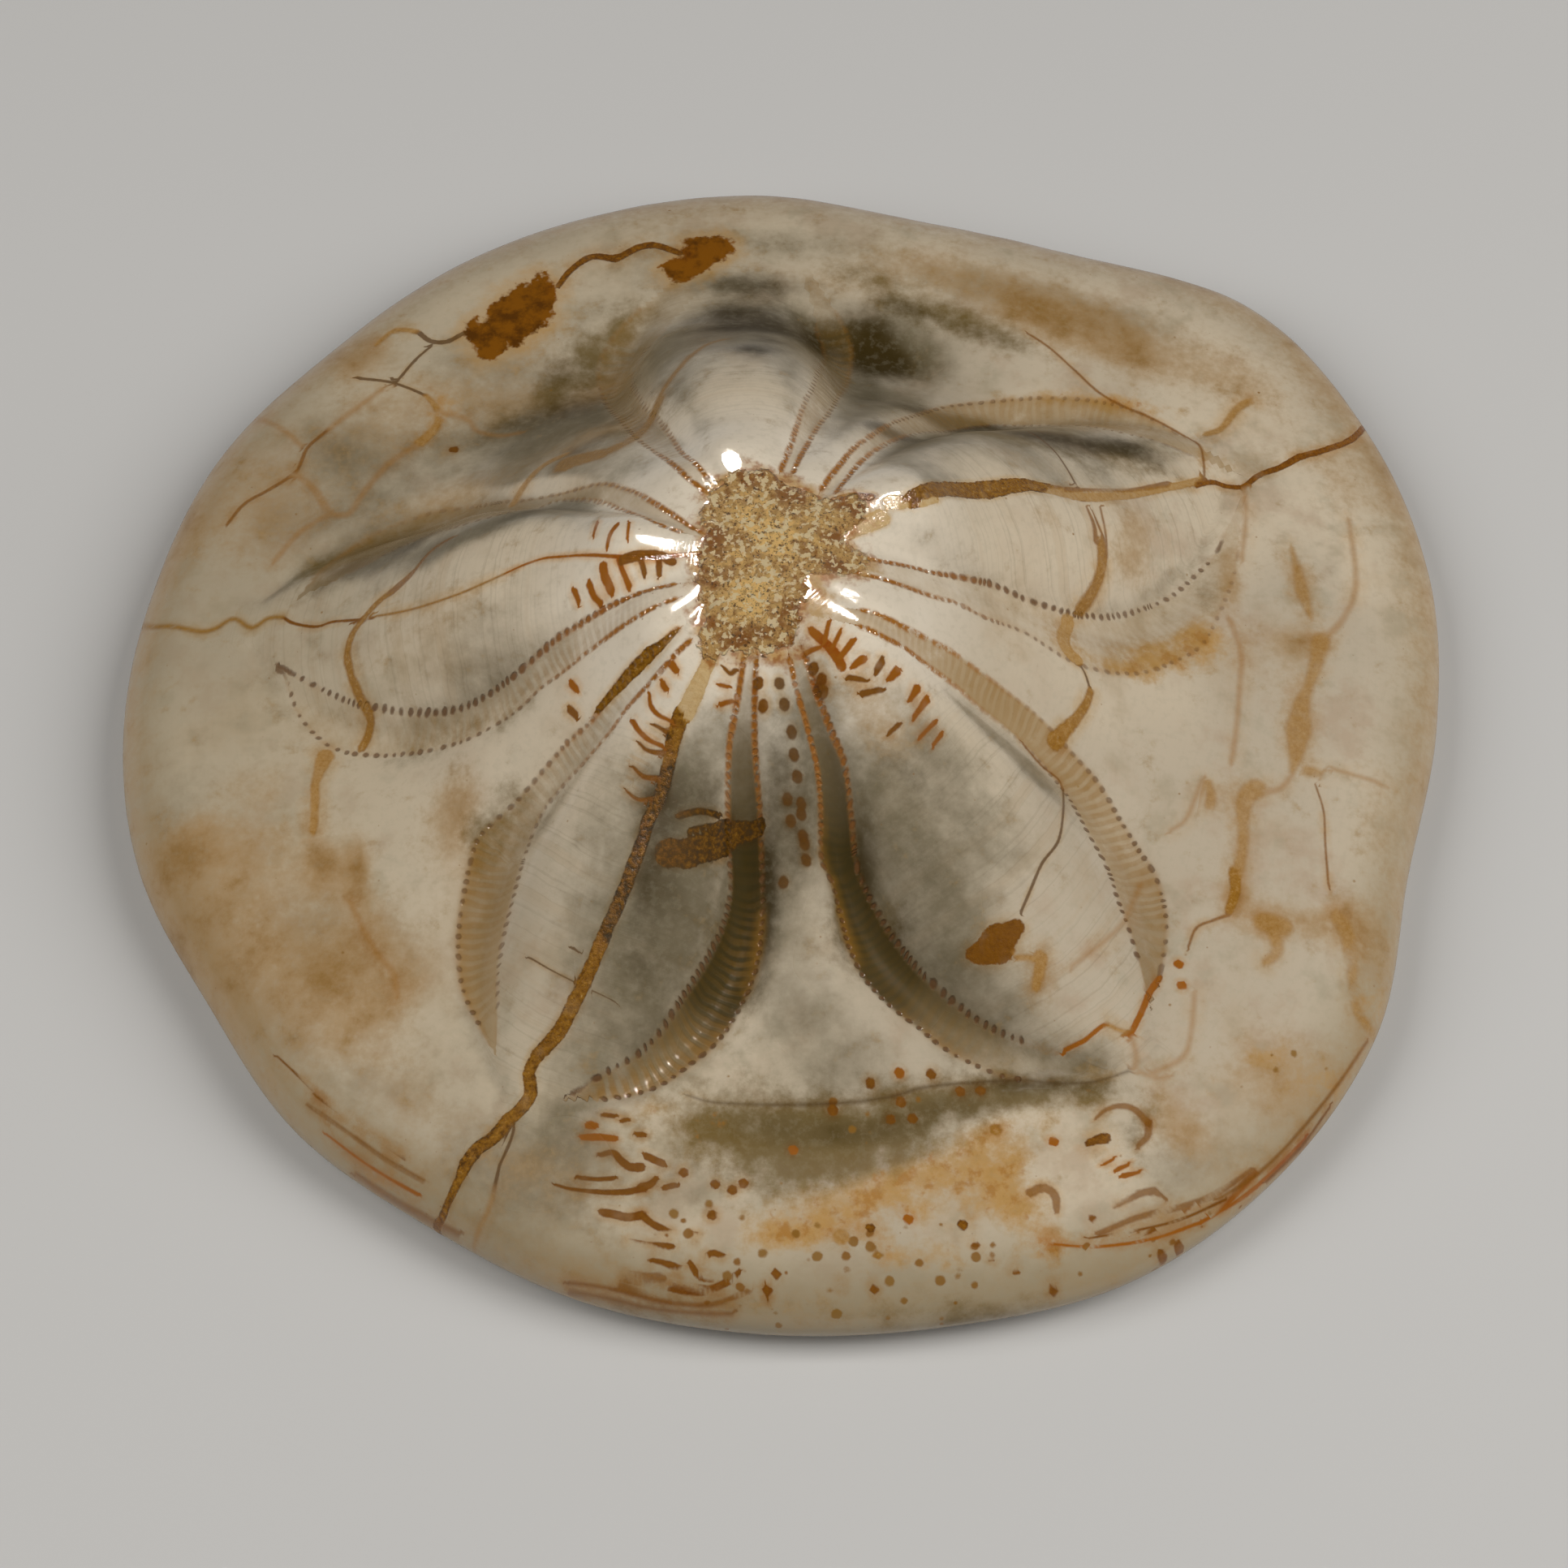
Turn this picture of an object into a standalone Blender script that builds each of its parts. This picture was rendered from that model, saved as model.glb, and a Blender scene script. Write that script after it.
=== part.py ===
"""A polished fossil sea urchin of the sand dollar kind, whole and in one piece.

The test (the urchin's shell) has turned to stone. Five swollen petals rise to a
blunt summit, a broad flange runs round them, and the underside is flat with a
sunken mouth and five shallow food grooves. It lies on its flat underside.

Metres, +Z up. The origin is the middle of the resting plane. +X is the urchin's
side, +Y runs towards its front petal, and the flat rear rim is at -Y.
"""
import bmesh
import bpy
import numpy as np

# Mesh fineness: bearings round the stone, and rings from the summit to the mouth
BEARINGS = 116
RINGS = 42
EDGE_STARTS = 0.70          # share of the rings spent on the upper face
EDGE_ENDS = 0.85            # the rings between these two shares turn round the rim

# The rim
RIM_NOSE_HEIGHT = 0.0052    # the level where the rim reaches furthest out
RIM_ROUND = 0.10            # the rim's rounded share of the radius

# The outline seen from above: radius about the summit, one value every 15 degrees from +X
OUTLINE_RADIUS = (
    0.0764, 0.0794, 0.0812, 0.0814, 0.0747, 0.0720, 0.0733, 0.0731,
    0.0726, 0.0715, 0.0723, 0.0717, 0.0718, 0.0714, 0.0699, 0.0712,
    0.0712, 0.0730, 0.0743, 0.0761, 0.0790, 0.0792, 0.0780, 0.0746,
)

# The dome under the petals: it falls bluntly towards the front and in a long slope towards the rear
DOME_FRONT_BEARING = 96.0
DOME_RADIUS = (0.0, 0.008, 0.014, 0.020, 0.028, 0.034, 0.040, 0.046, 0.054, 0.062, 0.070, 0.080)
DOME_FRONT = (
    0.0412, 0.0409, 0.0392, 0.0356, 0.0300, 0.0246,
    0.0184, 0.0147, 0.0131, 0.0120, 0.0104, 0.0082,
)
DOME_REAR = (
    0.0412, 0.0407, 0.0380, 0.0326, 0.0258, 0.0217,
    0.0188, 0.0168, 0.0148, 0.0130, 0.0110, 0.0086,
)

# The petals: bearing, length, half width to the left and right, swell, bluntness, groove left and right
PETALS = {
    "front": (95.0, 0.0580, 0.0122, 0.0122, 0.0070, 1.0, 0.0016, 0.0018),
    "right_front": (31.5, 0.0600, 0.0142, 0.0142, 0.0062, 0.3, 0.0018, 0.0014),
    "right_rear": (311.5, 0.0600, 0.0142, 0.0125, 0.0054, 0.0, 0.0010, 0.0027),
    "left_rear": (244.5, 0.0570, 0.0118, 0.0128, 0.0054, 0.0, 0.0027, 0.0012),
    "left_front": (171.0, 0.0570, 0.0138, 0.0135, 0.0060, 0.3, 0.0014, 0.0018),
}
# Half width of the swelling along a petal, and how far the pore band stands outside it
WIDTH_AT = (0.0, 0.08, 0.17, 0.28, 0.35, 0.43, 0.52, 0.60, 0.70, 0.80, 0.88, 0.95, 1.0)
WIDTH_SHARE = (0.12, 0.18, 0.25, 0.44, 0.59, 0.75, 0.90, 1.0, 0.98, 0.85, 0.64, 0.36, 0.10)
SECTION_POWER = 2.8         # a swelling is flatter on top than a plain arch
SECTION_EASE = 0.24         # eases the fold where the swelling meets its pore band
BAND_WIDTH = 0.0042
BAND_MIDDLE = 0.45          # where the groove is deepest, as a share of the band outside the swelling
BAND_REACH = 0.75           # how far its bell-shaped section reaches, as a share of the band
BAND_AT = (0.0, 0.15, 0.30, 0.45, 0.60, 0.80, 0.92, 1.0)
BAND_SHARE = (0.15, 0.25, 0.60, 0.90, 1.0, 0.90, 0.60, 0.35)
SWELL_AT = (0.0, 0.10, 0.17, 0.24, 0.34, 0.475, 0.56, 0.65, 0.73, 0.81, 0.91, 1.0, 1.08)
SWELL_GENTLE = (0.0, 0.01, 0.05, 0.14, 0.34, 0.68, 0.90, 1.0, 0.95, 0.76, 0.42, 0.15, 0.0)
SWELL_BLUNT = (0.0, 0.01, 0.05, 0.14, 0.33, 0.63, 0.82, 1.0, 0.86, 0.46, 0.12, 0.02, 0.0)
GROOVE_AT = (0.0, 0.14, 0.30, 0.48, 0.70, 0.88, 1.0, 1.08)
GROOVE_SHARE = (0.0, 0.10, 0.55, 1.0, 1.0, 0.60, 0.20, 0.0)

# Broad low forms of the upper face: bearing, distance, reach inwards, reach sideways, height
BROAD_FORMS = {
    "rear_fan": (280.0, 0.044, 0.0075, 0.012, 0.0022),
    "rear_hollow": (279.0, 0.0560, 0.0060, 0.028, -0.0009),
    "rear_rim": (277.0, 0.0670, 0.0090, 0.036, 0.0006),
    "right_front_hollow": (68.0, 0.0450, 0.0090, 0.0110, -0.0028),
    "left_front_hollow": (128.0, 0.0430, 0.0100, 0.0130, -0.0018),
}

# The underside
MOUTH_RADIUS = 0.0050
MOUTH_FUNNEL_RADIUS = 0.0240
MOUTH_DEPTH = 0.0110
FOOD_GROOVE_DEPTH = 0.0008
FOOD_GROOVE_HALF_WIDTH = 0.0016
FOOD_GROOVE_ENDS = 0.80     # share of the radius where the food grooves have died out
FOOD_GROOVE_FADE = 0.10     # share of the radius over which they do

STONE_COLOUR = (0.43, 0.36, 0.27, 1.0)
STONE_ROUGHNESS = 0.22


def smooth_curve(where, at, value):
    """A curve through the points (at, value): cubic pieces that share their slopes."""
    at = np.asarray(at, float)
    value = np.asarray(value, float)
    where = np.clip(where, at[0], at[-1])
    slope = np.gradient(value, at)
    piece = np.clip(np.searchsorted(at, where, side="right") - 1, 0, len(at) - 2)
    step = at[piece + 1] - at[piece]
    part = (where - at[piece]) / step
    start = (2 * part**3 - 3 * part**2 + 1) * value[piece]
    start_slope = (part**3 - 2 * part**2 + part) * step * slope[piece]
    end = (3 * part**2 - 2 * part**3) * value[piece + 1]
    end_slope = (part**3 - part**2) * step * slope[piece + 1]
    return start + start_slope + end + end_slope


def ring_curve(bearing, at_degrees, value):
    """The same kind of curve, closed round the full circle."""
    at = np.asarray(at_degrees, float)
    value = np.asarray(value, float)
    at = np.concatenate([at[-2:] - 360.0, at, at[:2] + 360.0])
    value = np.concatenate([value[-2:], value, value[:2]])
    degrees = np.degrees(bearing) % 360.0
    return smooth_curve(degrees, at, value)


def outline_radius(bearing):
    spacing = 360.0 / len(OUTLINE_RADIUS)
    return ring_curve(bearing, np.arange(len(OUTLINE_RADIUS)) * spacing, OUTLINE_RADIUS)


def dome(radius, bearing):
    """The dome with the flange round it: its two profiles, mixed by how far the bearing faces front."""
    to_front = (1 + np.cos(bearing - np.radians(DOME_FRONT_BEARING))) / 2
    front = smooth_curve(radius, DOME_RADIUS, DOME_FRONT)
    rear = smooth_curve(radius, DOME_RADIUS, DOME_REAR)
    return to_front * front + (1 - to_front) * rear


def broad_form(radius, bearing, form):
    """A low swell or hollow that fades like a bell, inwards and sideways."""
    at, distance, reach_in, reach_side, height = form
    turn = (bearing - np.radians(at) + np.pi) % (2 * np.pi) - np.pi
    sideways = turn * distance / reach_side
    return height * np.exp(-((radius - distance) / reach_in) ** 2 - sideways**2)


def petal(radius, bearing, shape):
    """One petal: a swelling with a flattened arch for its section, and a groove for each pore band."""
    at, length, left, right, swell, blunt, groove_left, groove_right = shape
    turn = bearing - np.radians(at)
    along = radius * np.cos(turn) / length
    across = radius * np.sin(turn)
    on_left = across > 0
    ahead = along > 0
    half = np.where(on_left, left, right) * smooth_curve(along, WIDTH_AT, WIDTH_SHARE)
    section = 1 - np.abs(across / half) ** SECTION_POWER
    inside = (section + np.sqrt(section**2 + SECTION_EASE**2)) / 2
    gentle = smooth_curve(along, SWELL_AT, SWELL_GENTLE)
    steep = smooth_curve(along, SWELL_AT, SWELL_BLUNT)
    rise = swell * inside * ((1 - blunt) * gentle + blunt * steep)
    band = BAND_WIDTH * smooth_curve(along, BAND_AT, BAND_SHARE)
    from_middle = (np.abs(across) - half - BAND_MIDDLE * band) / (BAND_REACH * band)
    depth = np.where(on_left, groove_left, groove_right) * smooth_curve(along, GROOVE_AT, GROOVE_SHARE)
    return np.where(ahead, rise - depth * np.exp(-(from_middle**2)), 0.0)


def upper_face(radius, bearing):
    """Height of the upper face, before the rim is turned down."""
    height = dome(radius, bearing)
    for form in BROAD_FORMS.values():
        height = height + broad_form(radius, bearing, form)
    for shape in PETALS.values():
        height = height + petal(radius, bearing, shape)
    return height


def under_face(radius, bearing, share):
    """Height of the underside: flat where it rests, sunken to the mouth, with five food grooves."""
    inwards = np.clip((MOUTH_FUNNEL_RADIUS - radius) / (MOUTH_FUNNEL_RADIUS - MOUTH_RADIUS), 0, 1)
    funnel = MOUTH_DEPTH * inwards**2 * (3 - 2 * inwards)
    grooves = np.zeros_like(radius)
    for shape in PETALS.values():
        turn = (bearing - np.radians(shape[0]) + np.pi) % (2 * np.pi) - np.pi
        sideways = radius * np.sin(turn) / FOOD_GROOVE_HALF_WIDTH
        grooves = np.where(np.cos(turn) > 0, np.maximum(grooves, np.clip(1 - sideways**2, 0, 1)), grooves)
    fade = np.clip((FOOD_GROOVE_ENDS - share) / FOOD_GROOVE_FADE, 0, 1)
    return funnel + FOOD_GROOVE_DEPTH * grooves * fade


def stone_surface(bearing, walk):
    """Every point of the stone, from its bearing and its walk: 0 at the summit, 1 at the mouth."""
    on_top = walk <= EDGE_STARTS
    on_edge = ~on_top & (walk < EDGE_ENDS)
    rim_turn = np.pi * (walk - EDGE_STARTS) / (EDGE_ENDS - EDGE_STARTS)
    top_share = (1 - RIM_ROUND) * np.clip(walk / EDGE_STARTS, 0, 1)
    edge_share = 1 - RIM_ROUND + RIM_ROUND * np.sin(rim_turn)
    under_share = (1 - RIM_ROUND) * np.clip((1 - walk) / (1 - EDGE_ENDS), 0, 1)
    share = np.where(on_top, top_share, np.where(on_edge, edge_share, under_share))
    radius = share * outline_radius(bearing)

    top = upper_face(radius, bearing)
    under = under_face(radius, bearing, share)
    reach = np.where(rim_turn < np.pi / 2, top, under) - RIM_NOSE_HEIGHT
    edge = RIM_NOSE_HEIGHT + reach * np.abs(np.cos(rim_turn))
    height = np.where(on_top, top, np.where(on_edge, edge, under))
    return radius * np.cos(bearing), radius * np.sin(bearing), height


def make_stone_material():
    material = bpy.data.materials.new("polished_fossil_stone")
    material.use_nodes = True
    shader = material.node_tree.nodes["Principled BSDF"]
    shader.inputs["Base Color"].default_value = STONE_COLOUR
    shader.inputs["Roughness"].default_value = STONE_ROUGHNESS
    shader.inputs["Metallic"].default_value = 0.0
    return material


def make_fossil_urchin(collection):
    """A sphere primitive whose rings and bearings are drawn out to the urchin's own surface."""
    shape = bmesh.new()
    bmesh.ops.create_uvsphere(shape, u_segments=BEARINGS, v_segments=RINGS, radius=1.0)
    on_sphere = np.array([vertex.co for vertex in shape.verts])
    bearing = np.arctan2(on_sphere[:, 1], on_sphere[:, 0])
    walk = np.arccos(np.clip(on_sphere[:, 2], -1, 1)) / np.pi
    x, y, height = stone_surface(bearing, walk)
    centre_x = (x.max() + x.min()) / 2
    centre_y = (y.max() + y.min()) / 2
    for vertex, place in zip(shape.verts, np.column_stack([x - centre_x, y - centre_y, height])):
        vertex.co = place
    # Each four-sided face is halved along its shorter diagonal, which follows the petals' edges
    bmesh.ops.triangulate(shape, faces=shape.faces[:], quad_method="SHORT_EDGE")

    mesh = bpy.data.meshes.new("fossil_urchin")
    shape.to_mesh(mesh)
    shape.free()
    mesh.materials.append(make_stone_material())
    mesh.shade_smooth()

    urchin = bpy.data.objects.new("fossil_urchin", mesh)
    collection.objects.link(urchin)
    return urchin


def main():
    for leftover in list(bpy.data.objects):
        bpy.data.objects.remove(leftover, do_unlink=True)
    collection = bpy.data.collections.new("fossil_sea_urchin")
    bpy.context.scene.collection.children.link(collection)
    make_fossil_urchin(collection)


main()
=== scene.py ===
# %% [markdown]
# # A polished fossil sea urchin
#
# The object is one stone: a flat sea urchin whose shell and filling have turned to
# stone and were then polished. Five swollen petals rise to a blunt summit. Each petal
# is edged by two bands of pores. Brown iron minerals fill the cracks and stain the
# flange, and a rough patch of the rock it was dug from is left on the summit.
#
# The lesson builds the stone again as one fine mesh round the same named values as its
# plain solid, and then paints it with nodes.

# %% Load the plain solid
import bpy
import numpy as np
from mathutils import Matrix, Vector


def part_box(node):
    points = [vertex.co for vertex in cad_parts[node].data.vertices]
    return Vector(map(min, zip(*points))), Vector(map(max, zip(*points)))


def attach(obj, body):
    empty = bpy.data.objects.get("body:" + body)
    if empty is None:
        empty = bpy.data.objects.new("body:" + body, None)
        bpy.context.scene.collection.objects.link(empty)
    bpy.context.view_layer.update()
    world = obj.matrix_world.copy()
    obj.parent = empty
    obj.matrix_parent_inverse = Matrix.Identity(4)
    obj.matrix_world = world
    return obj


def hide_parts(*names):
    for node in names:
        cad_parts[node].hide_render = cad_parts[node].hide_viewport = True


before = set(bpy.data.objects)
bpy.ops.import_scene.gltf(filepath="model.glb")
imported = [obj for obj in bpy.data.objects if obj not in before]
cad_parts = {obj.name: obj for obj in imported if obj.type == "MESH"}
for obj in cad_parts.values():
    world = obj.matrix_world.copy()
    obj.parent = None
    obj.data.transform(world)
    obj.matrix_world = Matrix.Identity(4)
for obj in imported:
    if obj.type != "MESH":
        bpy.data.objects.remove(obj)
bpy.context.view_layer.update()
STONE_LOW, STONE_HIGH = (np.array(corner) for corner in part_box("fossil_urchin"))
MM = 0.001                  # the guides along cracks and pores are kept in millimetres
print("the plain solid measures", np.round((STONE_HIGH - STONE_LOW) / MM, 1), "mm")

# %% [markdown]
# ## The form of the stone
#
# A natural form like this could be sculpted, or its points could be moved by hand. Here
# it is a formula instead. The height of the upper face depends on the distance from the
# summit and on the bearing round it: a dome with a flange, plus five petals, plus a few
# broad swells. A formula can be laid on a grid as fine as the polish needs.

# %% The stone's own sizes, in metres and degrees
RIM_NOSE_HEIGHT = 0.0052    # the level where the rim reaches furthest out
RIM_ROUND = 0.10            # the rim's rounded share of the radius

# The outline seen from above: radius about the summit, one value every 15 degrees from +X
OUTLINE_RADIUS = (
    0.0764, 0.0794, 0.0812, 0.0814, 0.0747, 0.0720, 0.0733, 0.0731,
    0.0726, 0.0715, 0.0723, 0.0717, 0.0718, 0.0714, 0.0699, 0.0712,
    0.0712, 0.0730, 0.0743, 0.0761, 0.0790, 0.0792, 0.0780, 0.0746,
)
DOME_FRONT_BEARING = 96.0
DOME_RADIUS = (0.0, 0.008, 0.014, 0.020, 0.028, 0.034, 0.040, 0.046, 0.054, 0.062, 0.070, 0.080)
DOME_FRONT = (
    0.0412, 0.0409, 0.0392, 0.0356, 0.0300, 0.0246,
    0.0184, 0.0147, 0.0131, 0.0120, 0.0104, 0.0082,
)
DOME_REAR = (
    0.0412, 0.0407, 0.0380, 0.0326, 0.0258, 0.0217,
    0.0188, 0.0168, 0.0148, 0.0130, 0.0110, 0.0086,
)

# The petals: bearing, length, half width to the left and right, swell, bluntness, groove left and right
PETALS = {
    "front": (95.0, 0.0580, 0.0122, 0.0122, 0.0070, 1.0, 0.0010, 0.0010),
    "right_front": (31.5, 0.0600, 0.0142, 0.0142, 0.0062, 0.3, 0.0018, 0.0014),
    "right_rear": (311.5, 0.0600, 0.0142, 0.0125, 0.0054, 0.0, 0.0010, 0.0027),
    "left_rear": (244.5, 0.0570, 0.0118, 0.0128, 0.0054, 0.0, 0.0027, 0.0012),
    "left_front": (171.0, 0.0570, 0.0138, 0.0135, 0.0060, 0.3, 0.0014, 0.0018),
}
WIDTH_AT = (0.0, 0.08, 0.17, 0.28, 0.35, 0.43, 0.52, 0.60, 0.70, 0.80, 0.88, 0.95, 1.0)
WIDTH_SHARE = (0.12, 0.18, 0.25, 0.44, 0.59, 0.75, 0.90, 1.0, 0.98, 0.87, 0.70, 0.48, 0.24)
SECTION_POWER = 2.8         # a swelling is flatter on top than a plain arch
SECTION_EASE = 0.16         # eases the fold where the swelling meets its pore band
BAND_WIDTH = 0.0042
BAND_MIDDLE = 0.45          # where the groove is deepest, as a share of the band outside the swelling
BAND_REACH = 0.75           # how far its bell-shaped section reaches, as a share of the band
BAND_AT = (0.0, 0.15, 0.30, 0.45, 0.60, 0.80, 0.92, 1.0)
BAND_SHARE = (0.15, 0.25, 0.60, 0.90, 1.0, 0.90, 0.60, 0.35)
SWELL_AT = (0.0, 0.10, 0.17, 0.24, 0.34, 0.475, 0.56, 0.65, 0.73, 0.81, 0.91, 1.0, 1.08)
SWELL_GENTLE = (0.0, 0.01, 0.05, 0.14, 0.34, 0.68, 0.90, 1.0, 0.95, 0.76, 0.42, 0.15, 0.0)
SWELL_BLUNT = (0.0, 0.01, 0.05, 0.14, 0.33, 0.63, 0.82, 1.0, 0.86, 0.46, 0.12, 0.02, 0.0)
GROOVE_AT = (0.0, 0.14, 0.30, 0.48, 0.70, 0.88, 1.0, 1.08)
GROOVE_SHARE = (0.0, 0.10, 0.55, 1.0, 0.92, 0.36, 0.06, 0.0)

# Broad low forms of the upper face: bearing, distance, reach inwards, reach sideways, height
BROAD_FORMS = {
    "rear_fan": (280.0, 0.044, 0.0075, 0.012, 0.0022),
    "rear_hollow": (279.0, 0.0560, 0.0060, 0.028, -0.0009),
    "rear_rim": (277.0, 0.0670, 0.0090, 0.036, 0.0006),
    "right_front_hollow": (68.0, 0.0450, 0.0090, 0.0110, -0.0022),
    "left_front_hollow": (128.0, 0.0430, 0.0100, 0.0130, -0.0018),
    "front_knob": (112.0, 0.0150, 0.0042, 0.0050, 0.0016),
    "right_front_knob": (29.0, 0.0200, 0.0044, 0.0052, 0.0028),
    "right_rear_knob": (331.0, 0.0158, 0.0048, 0.0058, 0.0024),
    "left_rear_knob": (217.0, 0.0142, 0.0050, 0.0056, 0.0021),
    "left_front_knob": (168.0, 0.0158, 0.0046, 0.0042, 0.0015),
}

# The underside
MOUTH_RADIUS = 0.0050
MOUTH_FUNNEL_RADIUS = 0.0240
MOUTH_DEPTH = 0.0110
FOOD_GROOVE_DEPTH = 0.0008
FOOD_GROOVE_HALF_WIDTH = 0.0016
FOOD_GROOVE_ENDS = 0.80
FOOD_GROOVE_FADE = 0.10


# %% Curves through a few points
def smooth_curve(where, at, value):
    """A curve through the points (at, value): cubic pieces that share their slopes."""
    at = np.asarray(at, float)
    value = np.asarray(value, float)
    where = np.clip(where, at[0], at[-1])
    slope = np.gradient(value, at)
    piece = np.clip(np.searchsorted(at, where, side="right") - 1, 0, len(at) - 2)
    step = at[piece + 1] - at[piece]
    part = (where - at[piece]) / step
    start = (2 * part**3 - 3 * part**2 + 1) * value[piece]
    start_slope = (part**3 - 2 * part**2 + part) * step * slope[piece]
    end = (3 * part**2 - 2 * part**3) * value[piece + 1]
    end_slope = (part**3 - part**2) * step * slope[piece + 1]
    return start + start_slope + end + end_slope


def outline_radius(bearing):
    """The outline's radius: the same kind of curve, closed round the full circle."""
    spacing = 360.0 / len(OUTLINE_RADIUS)
    at = np.arange(-2, len(OUTLINE_RADIUS) + 2) * spacing
    value = np.concatenate([OUTLINE_RADIUS[-2:], OUTLINE_RADIUS, OUTLINE_RADIUS[:2]])
    return smooth_curve(np.degrees(bearing) % 360.0, at, value)


def turn_from(bearing, degrees):
    """The bearing counted from a direction, between minus and plus half a turn."""
    return (bearing - np.radians(degrees) + np.pi) % (2 * np.pi) - np.pi


def ease(value, low, high):
    """0 below low, 1 above high, and an S-shaped rise between them: 3t^2 - 2t^3."""
    part = np.clip((value - low) / (high - low), 0, 1)
    return part**2 * (3 - 2 * part)


# %% Height of the upper face
def dome(radius, bearing):
    """Two profiles, front and rear, mixed by (1 + cos(bearing - front)) / 2."""
    to_front = (1 + np.cos(bearing - np.radians(DOME_FRONT_BEARING))) / 2
    front = smooth_curve(radius, DOME_RADIUS, DOME_FRONT)
    rear = smooth_curve(radius, DOME_RADIUS, DOME_REAR)
    return to_front * front + (1 - to_front) * rear


def broad_form(radius, bearing, form):
    """A bell: height times exp(-(distance / reach)^2), inwards and sideways."""
    at, distance, reach_in, reach_side, height = form
    sideways = turn_from(bearing, at) * distance / reach_side
    return height * np.exp(-((radius - distance) / reach_in) ** 2 - sideways**2)


def petal(radius, bearing, shape):
    """The swelling is a flat arch across, 1 - |across / half|^power, times a curve along it.
    The pore band's groove is a bell across, a little outside the swelling's foot."""
    at, length, left, right, swell, blunt, groove_left, groove_right = shape
    turn = bearing - np.radians(at)
    along = radius * np.cos(turn) / length
    across = radius * np.sin(turn)
    on_left = across > 0
    half = np.where(on_left, left, right) * smooth_curve(along, WIDTH_AT, WIDTH_SHARE)
    section = 1 - np.abs(across / half) ** SECTION_POWER
    inside = (section + np.sqrt(section**2 + SECTION_EASE**2)) / 2
    gentle = smooth_curve(along, SWELL_AT, SWELL_GENTLE)
    steep = smooth_curve(along, SWELL_AT, SWELL_BLUNT)
    rise = swell * inside * ((1 - blunt) * gentle + blunt * steep)
    band = BAND_WIDTH * smooth_curve(along, BAND_AT, BAND_SHARE)
    from_middle = (np.abs(across) - half - BAND_MIDDLE * band) / (BAND_REACH * band)
    depth = np.where(on_left, groove_left, groove_right) * smooth_curve(along, GROOVE_AT, GROOVE_SHARE)
    return np.where(along > 0, rise - depth * np.exp(-(from_middle**2)), 0.0)


def upper_face(radius, bearing):
    """The dome, plus the broad forms, plus the five petals."""
    height = dome(radius, bearing)
    for form in BROAD_FORMS.values():
        height = height + broad_form(radius, bearing, form)
    for shape in PETALS.values():
        height = height + petal(radius, bearing, shape)
    return height


print("summit height", round(float(upper_face(np.array([0.0]), np.array([0.0]))[0]) / MM, 1), "mm")


# %% Height of the underside
def under_face(radius, bearing, share):
    """Flat where it rests, an S-shaped funnel up to the mouth, and five shallow food grooves."""
    inwards = (MOUTH_FUNNEL_RADIUS - radius) / (MOUTH_FUNNEL_RADIUS - MOUTH_RADIUS)
    funnel = MOUTH_DEPTH * ease(inwards, 0, 1)
    grooves = np.zeros_like(radius)
    for shape in PETALS.values():
        turn = turn_from(bearing, shape[0])
        sideways = radius * np.sin(turn) / FOOD_GROOVE_HALF_WIDTH
        grooves = np.where(np.cos(turn) > 0, np.maximum(grooves, np.clip(1 - sideways**2, 0, 1)), grooves)
    fade = np.clip((FOOD_GROOVE_ENDS - share) / FOOD_GROOVE_FADE, 0, 1)
    return funnel + FOOD_GROOVE_DEPTH * grooves * fade


# %% [markdown]
# ## The grid
#
# The two parameters of the surface are the bearing round the summit and the walk from
# the summit over the rim to the mouth. The rings lie closer together near the summit,
# where the pore rows meet, and round the rim, which turns tightly. The bearings lie
# closer together at the rear, where the stone has its finest marks.

# %% Rings and bearings
BEARINGS = 616
TOP_RINGS, RIM_RINGS, UNDER_RINGS = 130, 14, 16
CROWDING = 0.20             # how much closer the rings lie at the summit than at the flange
REAR_BEARING = 275.0        # the rear has the finest marks, so the bearings crowd there
REAR_CROWDING = 0.30

steps = np.linspace(0, 1, TOP_RINGS + 1)[1:]
top_share = (1 - RIM_ROUND) * ((1 - CROWDING) * steps + CROWDING * steps**2)
rim_turn = np.linspace(0, np.pi, RIM_RINGS + 1)[1:]
rim_share = 1 - RIM_ROUND + RIM_ROUND * np.sin(rim_turn)
under_share = (1 - RIM_ROUND) * np.linspace(1, 0, UNDER_RINGS + 1)[1:-1]
ring_share = np.concatenate([top_share, rim_share, under_share])
ring_turn = np.concatenate([np.zeros(TOP_RINGS), rim_turn, np.full(len(under_share), np.pi)])
even_bearing = np.linspace(0, 2 * np.pi, BEARINGS, endpoint=False)
ring_bearing = even_bearing - REAR_CROWDING * np.sin(even_bearing - np.radians(REAR_BEARING))

share, bearing = np.meshgrid(ring_share, ring_bearing, indexing="ij")
turn_down = np.broadcast_to(ring_turn[:, None], share.shape)
radius = share * outline_radius(bearing)
on_top = turn_down < np.pi / 2 + 1e-6
print(share.size, "points on the grid,", 2 * share.size, "triangles")


# %% The surface itself
def stone_height(radius, bearing, share, turn_down):
    """Upper face, then half an ellipse round the rim's nose, then the underside:
    nose + (face - nose) * |cos(turn)|."""
    face = np.where(turn_down < np.pi / 2, upper_face(radius, bearing), under_face(radius, bearing, share))
    return RIM_NOSE_HEIGHT + (face - RIM_NOSE_HEIGHT) * np.abs(np.cos(turn_down))


height = stone_height(radius, bearing, share, turn_down)
plan_x, plan_y = radius * np.cos(bearing), radius * np.sin(bearing)

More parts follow.
